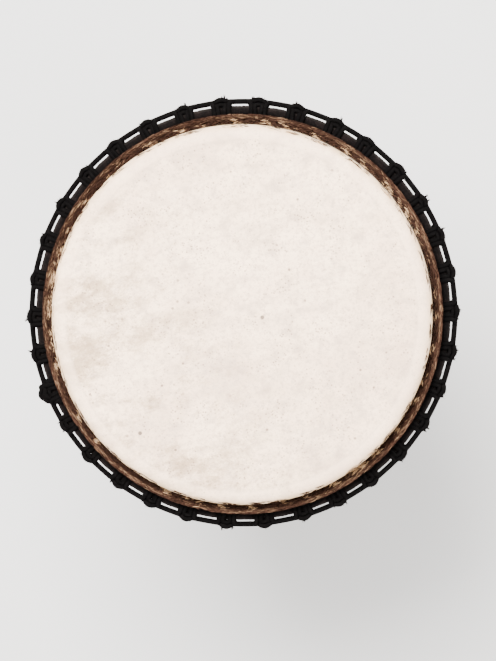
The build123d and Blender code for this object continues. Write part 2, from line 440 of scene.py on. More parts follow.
def dress(
    piece: bpy.types.Object,
    material: bpy.types.Material,
    body: Body | None,
    replaced: tuple[str, ...] = (),
) -> bpy.types.Object:
    """Give a piece its material, say what it replaces, and let it ride on a body.

    Args:
        piece: the piece.
        material: its material.
        body: the body it rides on, or None where it rides on neither.
        replaced: CAD nodes that it stands for.

    Returns:
        The same piece.
    """
    piece.data.materials.clear()
    piece.data.materials.append(material)
    if replaced:
        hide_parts(*replaced)
    if body is not None:
        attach(piece, body.value)
    place = body.value if body else "a blend"
    log.info("%s: %d faces on %s", piece.name, len(piece.data.polygons), place)
    return piece


# ------------------------------------------------------------------------------------ shader maths
class Tap:
    """One output socket, with the arithmetic that builds Math nodes."""

    def __init__(self, tree: bpy.types.NodeTree, socket: bpy.types.NodeSocket) -> None:
        """Keep the tree and the socket."""
        self.tree = tree
        self.socket = socket

    def math(self, operation: str, *others: "Tap | float") -> "Tap":
        """Add a Math node of this socket and the others.

        Args:
            operation: the node's operation.
            others: what its other sockets get.

        Returns:
            The node's output.
        """
        node = self.tree.nodes.new("ShaderNodeMath")
        node.operation = operation
        for place, value in zip(node.inputs, (self, *others)):
            if isinstance(value, Tap):
                self.tree.links.new(value.socket, place)
            else:
                place.default_value = value
        return Tap(self.tree, node.outputs[0])

    def __add__(self, other: "Tap | float") -> "Tap":
        """Sum."""
        return self.math("ADD", other)

    __radd__ = __add__

    def __sub__(self, other: "Tap | float") -> "Tap":
        """Difference."""
        return self.math("SUBTRACT", other)

    def __rsub__(self, other: float) -> "Tap":
        """Reflected difference."""
        return (self * -1.0) + other

    def __mul__(self, other: "Tap | float") -> "Tap":
        """Product."""
        return self.math("MULTIPLY", other)

    __rmul__ = __mul__

    def __truediv__(self, other: "Tap | float") -> "Tap":
        """Quotient."""
        return self.math("DIVIDE", other)

    def sin(self) -> "Tap":
        """Sine."""
        return self.math("SINE")

    def size(self) -> "Tap":
        """Absolute value."""
        return self.math("ABSOLUTE")

    def at_least(self, other: "Tap | float") -> "Tap":
        """Larger of two."""
        return self.math("MAXIMUM", other)


class Painter:
    """Builds the node tree of one material."""

    def __init__(self, name: str) -> None:
        """Start an empty material with a Principled shader."""
        self.material = bpy.data.materials.new(name)
        self.material.use_nodes = True
        self.tree = self.material.node_tree
        self.shader = self.tree.nodes["Principled BSDF"]

    def node(
        self,
        kind: str,
        settings: dict[str, object] | None = None,
        sockets: dict[str | int, object] | None = None,
        output: int | str = 0,
    ) -> Tap:
        """Add any node: its type, its settings, then the values or links of its sockets.

        Args:
            kind: the node's type.
            settings: attributes that are set first.
            sockets: values or Taps, by socket name or number.
            output: which output to return.

        Returns:
            The chosen output.
        """
        node = self.tree.nodes.new(kind)
        for key, value in (settings or {}).items():
            setattr(node, key, value)
        for key, value in (sockets or {}).items():
            self.feed(node.inputs[key], value)
        return Tap(self.tree, node.outputs[output])

    def feed(self, place: bpy.types.NodeSocket, value: object) -> None:
        """Link a Tap to a socket, or set its value."""
        if isinstance(value, Tap):
            self.tree.links.new(value.socket, place)
        else:
            place.default_value = value

    def place(self) -> Tap:
        """Object coordinates."""
        return self.node("ShaderNodeTexCoord", output="Object")

    def cloth_place(self) -> Tap:
        """The piece's own UV coordinates."""
        return self.node("ShaderNodeUVMap", {"uv_map": "UVMap"})

    def axes(self, vector: Tap) -> tuple[Tap, Tap, Tap]:
        """The three numbers of a vector.

        Args:
            vector: a vector output.

        Returns:
            Its x, y and z.
        """
        split = self.tree.nodes.new("ShaderNodeSeparateXYZ")
        self.tree.links.new(vector.socket, split.inputs[0])
        return tuple(Tap(self.tree, out) for out in split.outputs)

    def vector(self, x: Tap | float, y: Tap | float, z: Tap | float) -> Tap:
        """A vector of three numbers."""
        return self.node("ShaderNodeCombineXYZ", sockets={0: x, 1: y, 2: z})

    def noise(self, vector: Tap, scale: float, detail: float = 3.0, rough: float = 0.55) -> Tap:
        """Noise between 0 and 1, centred on a half."""
        sockets = {"Vector": vector, "Scale": scale, "Detail": detail, "Roughness": rough}
        return self.node("ShaderNodeTexNoise", sockets=sockets)

    def cells(self, vector: Tap, scale: float) -> Tap:
        """Distance to the nearest of scattered points, in cell sizes."""
        return self.node("ShaderNodeTexVoronoi", sockets={"Vector": vector, "Scale": scale})

    def step(self, value: Tap, low: float, high: float) -> Tap:
        """Smooth step from 0 at low to 1 at high; low may be the larger."""
        sockets = {0: value, 1: low, 2: high}
        return self.node("ShaderNodeMapRange", {"interpolation_type": "SMOOTHSTEP"}, sockets)

    def mix(self, factor: Tap | float, one: Tap | Colour, two: Tap | Colour) -> Tap:
        """Colour between one and two."""
        return self.node("ShaderNodeMix", {"data_type": "RGBA"}, {0: factor, 6: one, 7: two}, 2)

    def finish(
        self,
        colour: Tap | Colour,
        rough: Tap | float,
        height: Tap | None = None,
        **constants: float,
    ) -> bpy.types.Material:
        """Link colour, roughness and a height in metres, and set the shader's constants.

        Args:
            colour: base colour.
            rough: roughness.
            height: height of the surface's relief, in metres.
            constants: shader sockets by name, with underscores for spaces.

        Returns:
            The material.
        """
        self.feed(self.shader.inputs["Base Color"], colour)
        self.feed(self.shader.inputs["Roughness"], rough)
        if height is not None:
            sockets = {"Height": height, "Distance": 1.0, "Strength": 1.0}
            bump = self.node("ShaderNodeBump", sockets=sockets)
            self.feed(self.shader.inputs["Normal"], bump)
        for key, value in constants.items():
            self.shader.inputs[key.replace("_", " ")].default_value = value
        return self.material


# ------------------------------------------------------------------------------------ finishes
@dataclass(frozen=True)
class GoatskinFinish:
    """Shaved goatskin: creamy white, faintly stained, specked with hair roots, warm and darker at its
    edge, the darker part painted shade over the round of the bearing edge.
    """

    face_r: float
    band_r: float
    cream: Colour = (0.775, 0.61, 0.446, 1.0)
    grey: Colour = (0.4, 0.31, 0.25, 1.0)
    pink: Colour = (0.55, 0.405, 0.305, 1.0)
    band: Colour = (0.68, 0.525, 0.395, 1.0)
    # warm darker rim colour: a warm tint, and painted shade over the bearing edge's round
    edge: Colour = (0.52, 0.37, 0.2, 1.0)
    stain: Colour = (0.18, 0.122, 0.06, 1.0)
    speck: Colour = (0.1, 0.062, 0.045, 1.0)
    mark: Colour = (0.02, 0.012, 0.009, 1.0)

    def material(self) -> bpy.types.Material:
        """Build the material.

        Returns:
            The material.
        """
        paint = Painter("shaved_goatskin")
        place = paint.place()
        x, y, z = paint.axes(place)
        radius = (x * x + y * y).math("SQRT")
        cloud = paint.noise(place, 9.0, 5.0, 0.6)
        fine_cloud = paint.noise(place, 55.0, 4.0, 0.65)
        colour = paint.mix(paint.step(cloud, 0.4, 0.75), self.cream, self.pink)
        colour = paint.mix(paint.step(fine_cloud, 0.44, 0.74) * 0.8, colour, self.grey)
        grain = paint.noise(place, 230.0, 6.0, 0.85)
        colour = paint.mix(paint.step(grain, 0.46, 0.63) * 0.75, colour, self.grey)
        along, across = x * 0.97 + y * 0.24, y * 0.97 - x * 0.24
        streak = paint.noise(paint.vector(along * 0.22, across, z), 75.0, 4.0, 0.6)
        colour = paint.mix(paint.step(streak, 0.5, 0.7) * 0.35, colour, self.grey)
        toward_stain = paint.step(x * 0.88 + y * 0.47, 0.02, -0.12)
        patch = paint.noise(paint.vector(along * 0.6, across, z), 24.0, 7.0, 0.8)
        stained = paint.step(patch, 0.45, 0.63) * (toward_stain * 0.8 + 0.2)
        colour = paint.mix(stained * 0.65, colour, self.stain)
        roots = paint.step(paint.cells(place, 330.0), 0.34, 0.14)
        gather = paint.step(paint.noise(place, 40.0, 3.0), 0.42, 0.66)
        colour = paint.mix(roots * (gather * 0.55 + 0.1), colour, self.speck)
        dots = paint.step(paint.cells(place, 95.0), 0.16, 0.07)
        sown = paint.step(paint.noise(place, 22.0, 3.0), 0.48, 0.62)
        colour = paint.mix(dots * sown * 0.8, colour, self.speck)
        marks = paint.step(paint.cells(place, 34.0), 0.075, 0.045)
        few = paint.step(paint.noise(place, 15.0, 2.0), 0.53, 0.58)
        colour = paint.mix(marks * few * 0.8, colour, self.mark)
        band = paint.step(radius, self.band_r - 1.5 * MM, self.band_r + 2 * MM)
        colour = paint.mix(band * 0.45, colour, self.band)
        line = paint.step((radius - self.band_r).size(), 1.6 * MM, 0.2 * MM)
        colour = paint.mix(line * 0.22, colour, self.grey)
        # painted shade with a warm tint: the skin turns darker and warmer over the last 6.5 mm to the
        # bearing edge's round
        rim_tint_and_shade = paint.step(radius, self.face_r - 6.5 * MM, self.face_r)
        rim_tint_and_shade = rim_tint_and_shade * paint.step(fine_cloud, 0.25, 0.6)
        colour = paint.mix(rim_tint_and_shade * 0.8, colour, self.edge)
        height = paint.noise(place, 900.0, 3.0) * 0.00006 + fine_cloud * 0.0003 + roots * -0.00008
        rough = fine_cloud * 0.2 + 0.55
        return paint.finish(colour, rough, height, Specular_IOR_Level=0.35, Sheen_Weight=0.05)


@dataclass(frozen=True)
class HairFinish:
    """Goat hair and the raw edge under it, from near-black brown to cream by the attribute tone."""

    name: str
    dark: Colour = (0.02, 0.0098, 0.0068, 1.0)
    brown: Colour = (0.042, 0.021, 0.0145, 1.0)
    tan: Colour = (0.115, 0.074, 0.047, 1.0)
    cream: Colour = (0.36, 0.245, 0.145, 1.0)

    def material(self) -> bpy.types.Material:
        """Build the material.

        Returns:
            The material.
        """
        paint = Painter(self.name)
        tone = paint.node("ShaderNodeAttribute", {"attribute_name": "tone"}, output="Fac")
        place = paint.place()
        speckle = paint.noise(place, 700.0, 3.0) - 0.5
        tone = tone + speckle * 0.14
        colour = paint.mix(paint.step(tone, 0.05, 0.35), self.dark, self.brown)
        colour = paint.mix(paint.step(tone, 0.35, 0.6), colour, self.tan)
        colour = paint.mix(paint.step(tone, 0.6, 0.9), colour, self.cream)
        height = paint.noise(place, 1500.0, 2.0) * 0.0002
        return paint.finish(colour, 0.75, height, Specular_IOR_Level=0.04)


@dataclass(frozen=True)
class RopeFinish:
    """Black braided cord: crossing strands along the piece's own UV, dusty on the high parts."""

    strands: int = 8
    lay: float = 5.2 * MM
    black: Colour = (0.0013, 0.0012, 0.0013, 1.0)
    worn: Colour = (0.0055, 0.005, 0.0052, 1.0)

    def material(self) -> bpy.types.Material:
        """Build the material.

        Returns:
            The material.
        """
        paint = Painter("black_braided_rope")
        along, across, _ = paint.axes(paint.cloth_place())
        turns = across * (TURN * self.strands / 2)
        lay = along * (TURN * self.strands / 16 / self.lay * 4)
        right, left = (turns + lay).sin(), (turns - lay).sin()
        braid = (right * right).at_least(left * left)
        dust = paint.noise(paint.place(), 240.0, 4.0, 0.7)
        worn = braid * paint.step(dust, 0.45, 0.8)
        colour = paint.mix(worn * 0.7, self.black, self.worn)
        height = braid * 0.00022 + paint.noise(paint.place(), 2200.0, 2.0) * 0.0002
        return paint.finish(colour, dust * 0.2 + 0.72, height, Specular_IOR_Level=0.02)


@dataclass(frozen=True)
class FibreFinish:
    """Frayed ends of the black cord."""

    black: Colour = (0.0015, 0.0013, 0.0014, 1.0)
    brown: Colour = (0.006, 0.0046, 0.0042, 1.0)

    def material(self) -> bpy.types.Material:
        """Build the material.

        Returns:
            The material.
        """
        paint = Painter("frayed_black_fibre")
        mottle = paint.noise(paint.place(), 300.0, 2.0)
        colour = paint.mix(paint.step(mottle, 0.4, 0.75), self.black, self.brown)
        return paint.finish(colour, mottle * 0.2 + 0.75, Specular_IOR_Level=0.02)


@dataclass(frozen=True)
class ClothFinish:
    """Black cotton strip: plain weave along the piece's UV, brown and grey where it is rubbed, and
    lighter towards its outer edge as a painted sheen.
    """

    name: str
    outer_r: float
    thread: float = 0.45 * MM
    girth: float = 25.0 * MM
    black: Colour = (0.0018, 0.0014, 0.0015, 1.0)
    brown: Colour = (0.0044, 0.0031, 0.0031, 1.0)
    # grey of rubbed wear, also used as the painted sheen on the ring's outer edge
    rubbed_and_sheen: Colour = (0.015, 0.0132, 0.0128, 1.0)

    def material(self) -> bpy.types.Material:
        """Build the material.

        Returns:
            The material.
        """
        paint = Painter(self.name)
        along, across, _ = paint.axes(paint.cloth_place())
        warp = (along * (math.pi / self.thread)).sin()
        weft = (across * (math.pi * self.girth / self.thread)).sin()
        weave = warp * weft
        place = paint.place()
        mottle = paint.noise(place, 120.0, 5.0, 0.65)
        lint = paint.noise(place, 900.0, 3.0, 0.7)
        colour = paint.mix(paint.step(mottle, 0.42, 0.7), self.black, self.brown)
        x, y, _ = paint.axes(place)
        radius = (x * x + y * y).math("SQRT")
        # painted sheen: lighter towards the ring's outer edge, where light catches the cloth; the lint
        # noise adds real rubbed wear in the same colour
        outer = paint.step(radius, self.outer_r - 2.6 * MM, self.outer_r - 0.4 * MM)
        worn = paint.step(lint, 0.56, 0.74) * 0.55 + outer * mottle * 0.9
        colour = paint.mix(worn, colour, self.rubbed_and_sheen)
        height = weave * 0.00005 + lint * 0.0002
        return paint.finish(colour, mottle * 0.2 + 0.75, height, Specular_IOR_Level=0.03)


@dataclass(frozen=True)
class WoodFinish:
    """Oiled hardwood: grain along the axis, darker in its pores and at the foot."""

    deep: Colour = (0.017, 0.006, 0.003, 1.0)
    mid: Colour = (0.046, 0.0165, 0.0075, 1.0)
    light: Colour = (0.09, 0.035, 0.0145, 1.0)
    pore: Colour = (0.008, 0.0035, 0.0022, 1.0)

    def material(self) -> bpy.types.Material:
        """Build the material.

        Returns:
            The material.
        """
        paint = Painter("oiled_hardwood")
        place = paint.place()
        x, y, z = paint.axes(place)
        wander = paint.noise(place, 7.0, 3.0) - 0.5
        stretched = paint.vector(x + wander * 0.03, y + wander * 0.03, z * 0.09)
        broad = paint.noise(stretched, 42.0, 4.0, 0.6)
        rings = ((x * 0.92 + y * 0.38 + wander * 0.09) * 150.0 + broad * 3.0).sin() * 0.5 + 0.5
        colour = paint.mix(paint.step(broad, 0.3, 0.7), self.deep, self.mid)
        colour = paint.mix(rings * 0.45, colour, self.light)
        pores = paint.step(paint.noise(paint.vector(x, y, z * 0.035), 1300.0, 2.0), 0.58, 0.7)
        colour = paint.mix(pores * 0.6, colour, self.pore)
        soiled = paint.step(z + wander * 0.05, 0.06, 0.0)
        colour = paint.mix(soiled * 0.45, colour, self.deep)
        rough = paint.noise(place, 60.0, 4.0) * 0.25 + 0.33 + pores * 0.2
        height = pores * -0.00018 + rings * 0.00006 + paint.noise(place, 300.0, 3.0) * 0.00008
        return paint.finish(colour, rough, height, Specular_IOR_Level=0.12)


@dataclass(frozen=True)
class SteelFinish:
    """Mild steel rod with a little rust."""

    steel: Colour = (0.1, 0.098, 0.095, 1.0)
    rust: Colour = (0.05, 0.018, 0.008, 1.0)

    def material(self) -> bpy.types.Material:
        """Build the material.

        Returns:
            The material.
        """
        paint = Painter("rusty_steel_rod")
        place = paint.place()
        rusted = paint.step(paint.noise(place, 160.0, 6.0, 0.7), 0.52, 0.66)
        colour = paint.mix(rusted, self.steel, self.rust)
        height = paint.noise(place, 1400.0, 2.0) * 0.00006 + rusted * 0.00008
        return paint.finish(colour, rusted * 0.4 + 0.35, height, Metallic=0.85)


@dataclass(frozen=True)
class FloorFinish:
    """Plain pale studio floor."""

    pale: Colour = (0.5, 0.525, 0.55, 1.0)
    shade: Colour = (0.47, 0.495, 0.52, 1.0)

    def material(self) -> bpy.types.Material:
        """Build the material.

        Returns:
            The material.
        """
        paint = Painter("pale_floor")
        cloud = paint.noise(paint.place(), 3.0, 3.0)
        return paint.finish(paint.mix(cloud, self.pale, self.shade), 0.8, Specular_IOR_Level=0.2)


# ------------------------------------------------------------------------------------ drum body
@dataclass
class Shell:
    """The carved wooden goblet, inside and out."""

    sizes: DrumSizes
    around: int = 300
    mark_depth: float = 0.45 * MM
    inside_depth: float = 1.1 * MM
    edge_round: float = 3.0 * MM
    flare_start: float = 4.0 * MM
    mark_row: float = 34.0 * MM
    marks_top_z: float = 550.0 * MM
    fade: float = 20.0 * MM

    @staticmethod
    def arc(
        middle: tuple[float, float], radius: float, start: float, end: float, count: int
    ) -> np.ndarray:
        """Points of an arc, outward and up: middle + radius (cos a, sin a), for angles in radians."""
        angle = np.linspace(start, end, count)
        return np.stack([middle[0] + radius * np.cos(angle), middle[1] + radius * np.sin(angle)], -1)

    def profile(self) -> np.ndarray:
        """Closed section of the wall, anticlockwise: out along the foot, up outside, down inside.

        Returns:
            Outward distance and height of each point, shaped (points, 2).
        """
        s = self.sizes
        foot_arc = ((s.foot_r - s.waist_r) ** 2 + s.waist_bottom_z**2) / (2 * (s.foot_r - s.waist_r))
        inner_foot = s.foot_r - s.foot_wall
        rise = inner_foot - s.throat_r
        throat_arc = (rise**2 + s.waist_bottom_z**2) / (2 * rise)
        flare = s.waist_bottom_z - self.flare_start
        foot_turn, throat_turn = math.asin(flare / foot_arc), math.asin(flare / throat_arc)
        bowl_turn = math.asin((s.bowl_arc_z - s.waist_meets_bowl_z) / s.bowl_arc_r)
        inner_arc = s.bowl_arc_r - s.bowl_wall
        bowl_middle = (s.bowl_arc_x, s.bowl_arc_z)
        foot_middle = (s.waist_r + foot_arc, s.waist_bottom_z)
        throat_middle = (s.throat_r + throat_arc, s.waist_bottom_z)
        inner_turn = math.acos((s.throat_r - s.bowl_arc_x) / inner_arc)
        crest = s.head_z - s.skin_t
        r = self.edge_round
        outside_r = s.bowl_r - s.edge_round
        parts = [
            self.arc((inner_foot + r, r), r, math.pi, 1.5 * math.pi, 6),
            self.arc((s.foot_r - r, r), r, -math.pi / 2, 0, 6),
            self.arc(foot_middle, foot_arc, math.pi + foot_turn, math.pi, 90),
            np.linspace((s.waist_r, s.waist_bottom_z), (s.waist_r, s.waist_meets_bowl_z), 12)[1:],
            self.arc(bowl_middle, s.bowl_arc_r, -bowl_turn, 0, 70)[1:],
            self.arc((outside_r, crest - s.edge_round), s.edge_round, 0, math.pi / 2, 10),
            self.arc((outside_r, crest - r), r, math.pi / 2, math.pi, 6)[1:],
            self.arc(bowl_middle, inner_arc, 0, -inner_turn, 60),
            np.linspace((s.throat_r, s.waist_meets_bowl_z - 10 * MM), (s.throat_r, s.waist_bottom_z), 8),
            self.arc(throat_middle, throat_arc, math.pi, math.pi + throat_turn, 60)[1:],
        ]
        return np.concatenate(parts)

    def tool_marks(self, angle: np.ndarray, height: np.ndarray, rng: np.random.Generator) -> np.ndarray:
        """Depth of shallow gouge cuts between 0 and 1.

        Each row of cuts is a run of scallops round the drum, |sin(n a + phase)|, and its phase and
        width wander from row to row, so that no two rows line up.

        Args:
            angle: angles round the drum.
            height: heights.
            rng: source of the rows' phases.

        Returns:
            Depths between 0 and 1.
        """
        rows = np.floor(height / self.mark_row)
        phases = rng.uniform(0, TURN, 40)[rows.astype(int) % 40]
        counts = 24 + 4 * np.sin(rows * 1.7)
        inside_row = height / self.mark_row - rows
        scallop = np.abs(np.sin(np.round(counts) / 2 * angle + phases))
        return (1 - scallop) ** 2 * np.sin(math.pi * inside_row) ** 0.5 * 0.6 + 0.12 * scallop

    def build(self) -> bpy.types.Object:
        """Turn the profile round the axis and press the tool marks into both walls.

        Returns:
            The piece.
        """
        rng = np.random.default_rng(11)
        profile = self.profile()
        angle = np.arange(self.around) * TURN / self.around
        edge = np.roll(profile, -1, axis=0) - np.roll(profile, 1, axis=0)
        normal = unit(np.stack([edge[:, 1], -edge[:, 0]], -1))
        inside = normal[:, 0] < -0.2
        from_ends = np.minimum(profile[:, 1] - self.flare_start, self.marks_top_z - profile[:, 1])
        away_from_ends = np.clip(from_ends / self.fade, 0, 1)
        depth = np.where(inside, self.inside_depth, self.mark_depth) * away_from_ends
        marks = self.tool_marks(angle[None], profile[:, 1][:, None], rng) * depth[:, None]
        slow = np.sin(3 * angle + 1.0)[None] * np.sin(profile[:, 1] * 9.0)[:, None]
        marks = marks + 0.5 * MM * (slow + 1) * away_from_ends[:, None]
        radius = profile[:, 0][:, None] - normal[:, 0][:, None] * marks
        height = profile[:, 1][:, None] - normal[:, 1][:, None] * marks
        points = around_axis(radius, height, angle[None])
        piece = grid_mesh("carved_shell", points[None], closed_i=True)
        return dress(piece, WoodFinish().material(), Body.DRUM, ("shell",))


@dataclass
class Head:
    """The goatskin: playing face, fold round the flesh ring, and the collar with its hair."""

    sizes: DrumSizes
    around: int = 360
    hairs: int = 9800
    stretched_r: float = 213.0 * MM

    def face_profile(self) -> tuple[np.ndarray, np.ndarray]:
        """Upper side of the skin from the middle over the bearing edge to the fold: radius and height.

        Inside the bearing edge the face lies a little lower. Over the edge it follows a quarter circle,
        then a straight side that leans out to the flesh ring.

        Returns:
            The points' radii and heights.
        """
        s = self.sizes
        crest_r = s.bowl_r + s.skin_gap - s.edge_round
        round_r = s.edge_round + s.skin_t
        flat = np.concatenate([[0.6 * MM], np.linspace(4 * MM, crest_r, 90)])
        dip = 0.45 * MM * (1 - np.clip((flat - crest_r + 6 * MM) / (5 * MM), 0, 1) ** 2)
        turn = np.linspace(0, math.pi / 2, 14)[1:]
        over_r = crest_r + round_r * np.sin(turn)
        over_z = s.head_z - round_r * (1 - np.cos(turn))
        fold_r = s.rod_r + s.skin_gap + s.skin_t
        side_z = np.linspace(over_z[-1], s.flesh_z - fold_r * 0.4, 16)[1:]
        lean = np.clip((s.head_z - 18 * MM - side_z) / (30 * MM), 0, 1) ** 1.5
        side_r = over_r[-1] + lean * (s.flesh_r - fold_r - over_r[-1] + 0.5 * MM)
        end = math.radians(205)
        under = np.linspace(end, math.radians(270), 8)[1:]
        under_r = s.flesh_r + fold_r * np.cos(under)
        under_z = s.flesh_z + fold_r * np.sin(under)
        radius = np.concatenate([flat, over_r, side_r, under_r])
        height = np.concatenate([s.head_z - dip, over_z, side_z, under_z])
        return radius, height

    def closed_section(self, radius: np.ndarray, height: np.ndarray) -> tuple[np.ndarray, np.ndarray]:
        """Section of a skin from its line: the line, and back along it one thickness inside.

        Args:
            radius: radii of the line's points.
            height: their heights.

        Returns:
            Radii and heights of the section's points.
        """
        step = np.stack([np.gradient(radius), np.gradient(height)], -1)
        normal = unit(np.stack([-step[:, 1], step[:, 0]], -1))
        inner_r = radius - normal[:, 0] * self.sizes.skin_t
        inner_z = height - normal[:, 1] * self.sizes.skin_t
        inner_r = np.maximum(inner_r, 0.4 * MM)
        return np.concatenate([inner_r, radius[::-1]]), np.concatenate([inner_z, height[::-1]])

    def face(self, material: bpy.types.Material) -> bpy.types.Object:
        """The skin from the middle of the face to the underside of the flesh ring.

        The face swells and dips by a sum of slow waves of a tenth of a millimetre.

        Args:
            material: goatskin.

        Returns:
            The piece.
        """
        radius, height = self.closed_section(*self.face_profile())
        angle = np.arange(self.around) * TURN / self.around
        r, a = radius[:, None], angle[None]
        swell = np.sin(r * 70 + 2 * np.cos(a)) * np.cos(3 * a) + np.sin(r * 41 + 3 * np.sin(2 * a))
        fade = np.clip((0.15 - r) / 0.05, 0, 1) * np.clip(r / 0.02, 0, 1)
        z = height[:, None] + 0.08 * MM * (swell - 1.5) * fade
        points = around_axis(r, z, a)
        piece = grid_mesh("skin_head", points[None])
        dress(piece, material, None, ("drum_skin",))
        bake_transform(piece)
        return piece

    def collar_profile(self) -> tuple[np.ndarray, np.ndarray]:
        """Outer side of the skin, from under the flesh ring, up inside the crown ring, to the lip.

        Returns:
            The points' radii and heights.
        """
        s = self.sizes
        fold_r = s.rod_r + s.skin_gap + s.skin_t
        turn = np.radians(np.linspace(-90, 100, 22))
        round_r = s.flesh_r + fold_r * np.cos(turn)
        round_z = s.flesh_z + fold_r * np.sin(turn)
        neck_r = s.bowl_r + 4.2 * MM
        corners = np.array(
            [
                (round_r[-1], round_z[-1]),
                (neck_r + 1.0 * MM, round_z[-1] + 0.5 * MM),
                (neck_r, s.crown_z + 1.0 * MM),
                (neck_r + 0.4 * MM, s.crown_z + 8.0 * MM),
                (s.collar_lip_r - 2.2 * MM, s.crown_z + 13.5 * MM),
                (s.collar_lip_r, s.crown_z + s.collar_rise),
            ]
        )
        line = rope_line(np.column_stack([corners, np.zeros(len(corners))]), 0.6 * MM, closed=False)
        return np.concatenate([round_r, line[1:, 0]]), np.concatenate([round_z, line[1:, 1]])

    def wavy(self, angle: np.ndarray, seed: int) -> np.ndarray:
        """Uneven curve round the drum between about -1 and 1: a sum of sines of random phase.

        Args:
            angle: angles in radians.
            seed: seed of the sines' phases.

        Returns:
            One number for each angle.
        """
        rng = np.random.default_rng(seed)
        orders = np.array([3, 5, 8, 13, 21, 34, 55])
        phases = rng.uniform(0, TURN, len(orders))
        weights = 1 / np.sqrt(orders)
        waves = np.sin(orders[:, None] * np.ravel(angle)[None] + phases[:, None]) * weights[:, None]
        return (waves.sum(0) / 1.2).reshape(np.shape(angle))

    def patches(self, angle: np.ndarray, out: np.ndarray) -> np.ndarray:
        """Tone of the hair from 0, dark brown, to 1, cream, by angle and by place across the collar.

        out runs from 0 at the skin's side to 1 at the lip. Near the face slanted blocks of dark hair
        are parted by narrow cream ones, and towards the lip fine streaks of both mix into a dusty tan.
        A thin darker line halfway across is painted shade in the crease between the two bands, and the
        last tenth up to the lip is darkened as painted shade next to the ring.

        Args:
            angle: angles round the drum.
            out: place across the collar.

        Returns:
            Tones between 0 and 1.
        """
        lean = 0.06 + 0.035 * self.wavy(angle, 9)
        slanted = angle - out * lean
        blocks = self.wavy(slanted, 5) * 0.4 + self.wavy(slanted * 14.0, 6) * 0.85
        near = 0.52 + 0.42 * np.tanh(5.0 * (blocks - 0.46))
        streaks = self.wavy(slanted * 9.0 + 9 * out, 7) * 0.6 + self.wavy(angle * 4.0, 8) * 0.3
        far = 0.35 + 0.26 * np.tanh(2.5 * streaks)
        toward_lip = np.clip((out - 0.5) / 0.16, 0, 1)
        # painted shade: a thin darker line in the crease between the inner and outer band of hair
        crease_shade = np.exp(-(((out - 0.52) / 0.07) ** 2)) * 0.22
        # painted shade: the hair darkens over the last tenth towards the lip, next to the ring
        shade = np.clip((out - 0.9) / 0.1, 0, 1) * 0.4
        return np.clip(near * (1 - toward_lip) + far * toward_lip - crease_shade - shade, 0, 1)

    def collar(self, material: bpy.types.Material) -> bpy.types.Object:
        """The folded skin outside the flesh ring and its raw lip, a little uneven all round.

        Args:
            material: material of the raw hide.

        Returns:
            The piece.
        """
        s = self.sizes
        radius, height = self.collar_profile()
        line = np.stack([radius, height], -1)
        step = np.gradient(line, axis=0)
        normal = unit(np.stack([step[:, 1], -step[:, 0]], -1))
        inner = line - normal * s.skin_t
        section = np.concatenate([line, inner[::-1]])
        angle = np.arange(self.around * 2) * TURN / (self.around * 2)
        rise = np.clip((section[:, 1] - s.crown_z) / s.collar_rise, 0, 1)[:, None] ** 2
        uneven = self.wavy(angle, 21)[None]
        ripple = self.wavy(angle * 3, 22)[None]
        r = section[:, 0][:, None] + rise * (0.35 * MM * uneven + 0.25 * MM * ripple - 0.4 * MM)
        z = section[:, 1][:, None] + rise * (1.1 * MM * ripple - 1.2 * MM)
        points = around_axis(r, z, angle[None])
        out = np.clip((r - s.bowl_r - 1.5 * MM) / (s.collar_lip_r - s.bowl_r - 1.5 * MM), 0, 1)
        tone = self.patches(np.broadcast_to(angle[None], r.shape), out) * 0.9
        piece = grid_mesh("skin_collar", points[None], closed_i=True, tone=tone[None])
        return dress(piece, material, Body.CROWN)

    def hair(self, material: bpy.types.Material) -> bpy.types.Object:
        """Short coarse hairs that lie round the collar, each a tapered strand with a slight bend.

        Most lie slantwise on the collar. The innermost grow out of the skin's side and lie against the
        round of the bearing edge, so the white face ends in an uneven line.

        Args:
            material: material of the hair.

        Returns:
            The piece.
        """
        s = self.sizes
        rng = np.random.default_rng(31)
        count = self.hairs
        angle = rng.uniform(0, TURN, count)
        out = rng.uniform(0, 1, count) ** 0.9
        length = rng.uniform(2.6, 5.2, count) * (1 + 0.9 * out) * MM
        slant = rng.normal(0.0, 0.15, count) + 0.24 * (1 - out)
        way = np.where(rng.uniform(size=count) < 0.86, -1.0, 1.0)
        low_r, high_r = s.bowl_r + 1.5 * MM, s.collar_lip_r + 0.3 * MM
        base_r = low_r + out * (high_r - low_r)
        lie = np.interp(out, [0, 0.25, 0.7, 1], [15.5, 14.2, 15.2, 17.2]) * MM
        base_z = s.crown_z + lie + rng.normal(0, 0.5, count) * MM
        t = np.linspace(0, 1, 4)[None]
        run = length[:, None] * t
        a = angle[:, None] + way[:, None] * run * np.cos(slant)[:, None] / base_r[:, None]
        r = base_r[:, None] + run * np.sin(slant)[:, None] + rng.normal(0, 0.5, (count, 1)) * MM * t**2
        r = np.clip(r, low_r - 0.2 * MM, high_r)
        z = base_z[:, None] + rng.uniform(0, 1.3, (count, 1)) * MM * np.sin(t * 2.6)
        edge = (rng.uniform(size=count) < 0.14) & (self.wavy(angle * 9.0, 12) > 0.0)
        edge_out = rng.uniform(-1.1, 1.2, (count, 1)) - 0.9 * t * rng.uniform(0, 1, (count, 1))
        edge_r = s.bowl_r + edge_out * MM
        round_r = s.edge_round + s.skin_t
        past = np.clip((edge_r - (s.bowl_r + s.skin_gap - s.edge_round)) / round_r, 0, 1)
        edge_z = s.head_z - round_r * (1 - np.sqrt(1 - past**2)) + 0.25 * MM
        edge_z = np.where(past > 0.99, s.head_z - round_r - rng.uniform(0, 8, (count, 1)) * MM, edge_z)
        r = np.where(edge[:, None], edge_r, r)
        z = np.where(edge[:, None], edge_z, z)
        width = rng.uniform(0.2, 0.42, (count, 1)) * MM * np.array([[0.8, 1.0, 0.75, 0.15]])
        points = strands(around_axis(r, z, a), (0, 0, 1), width)
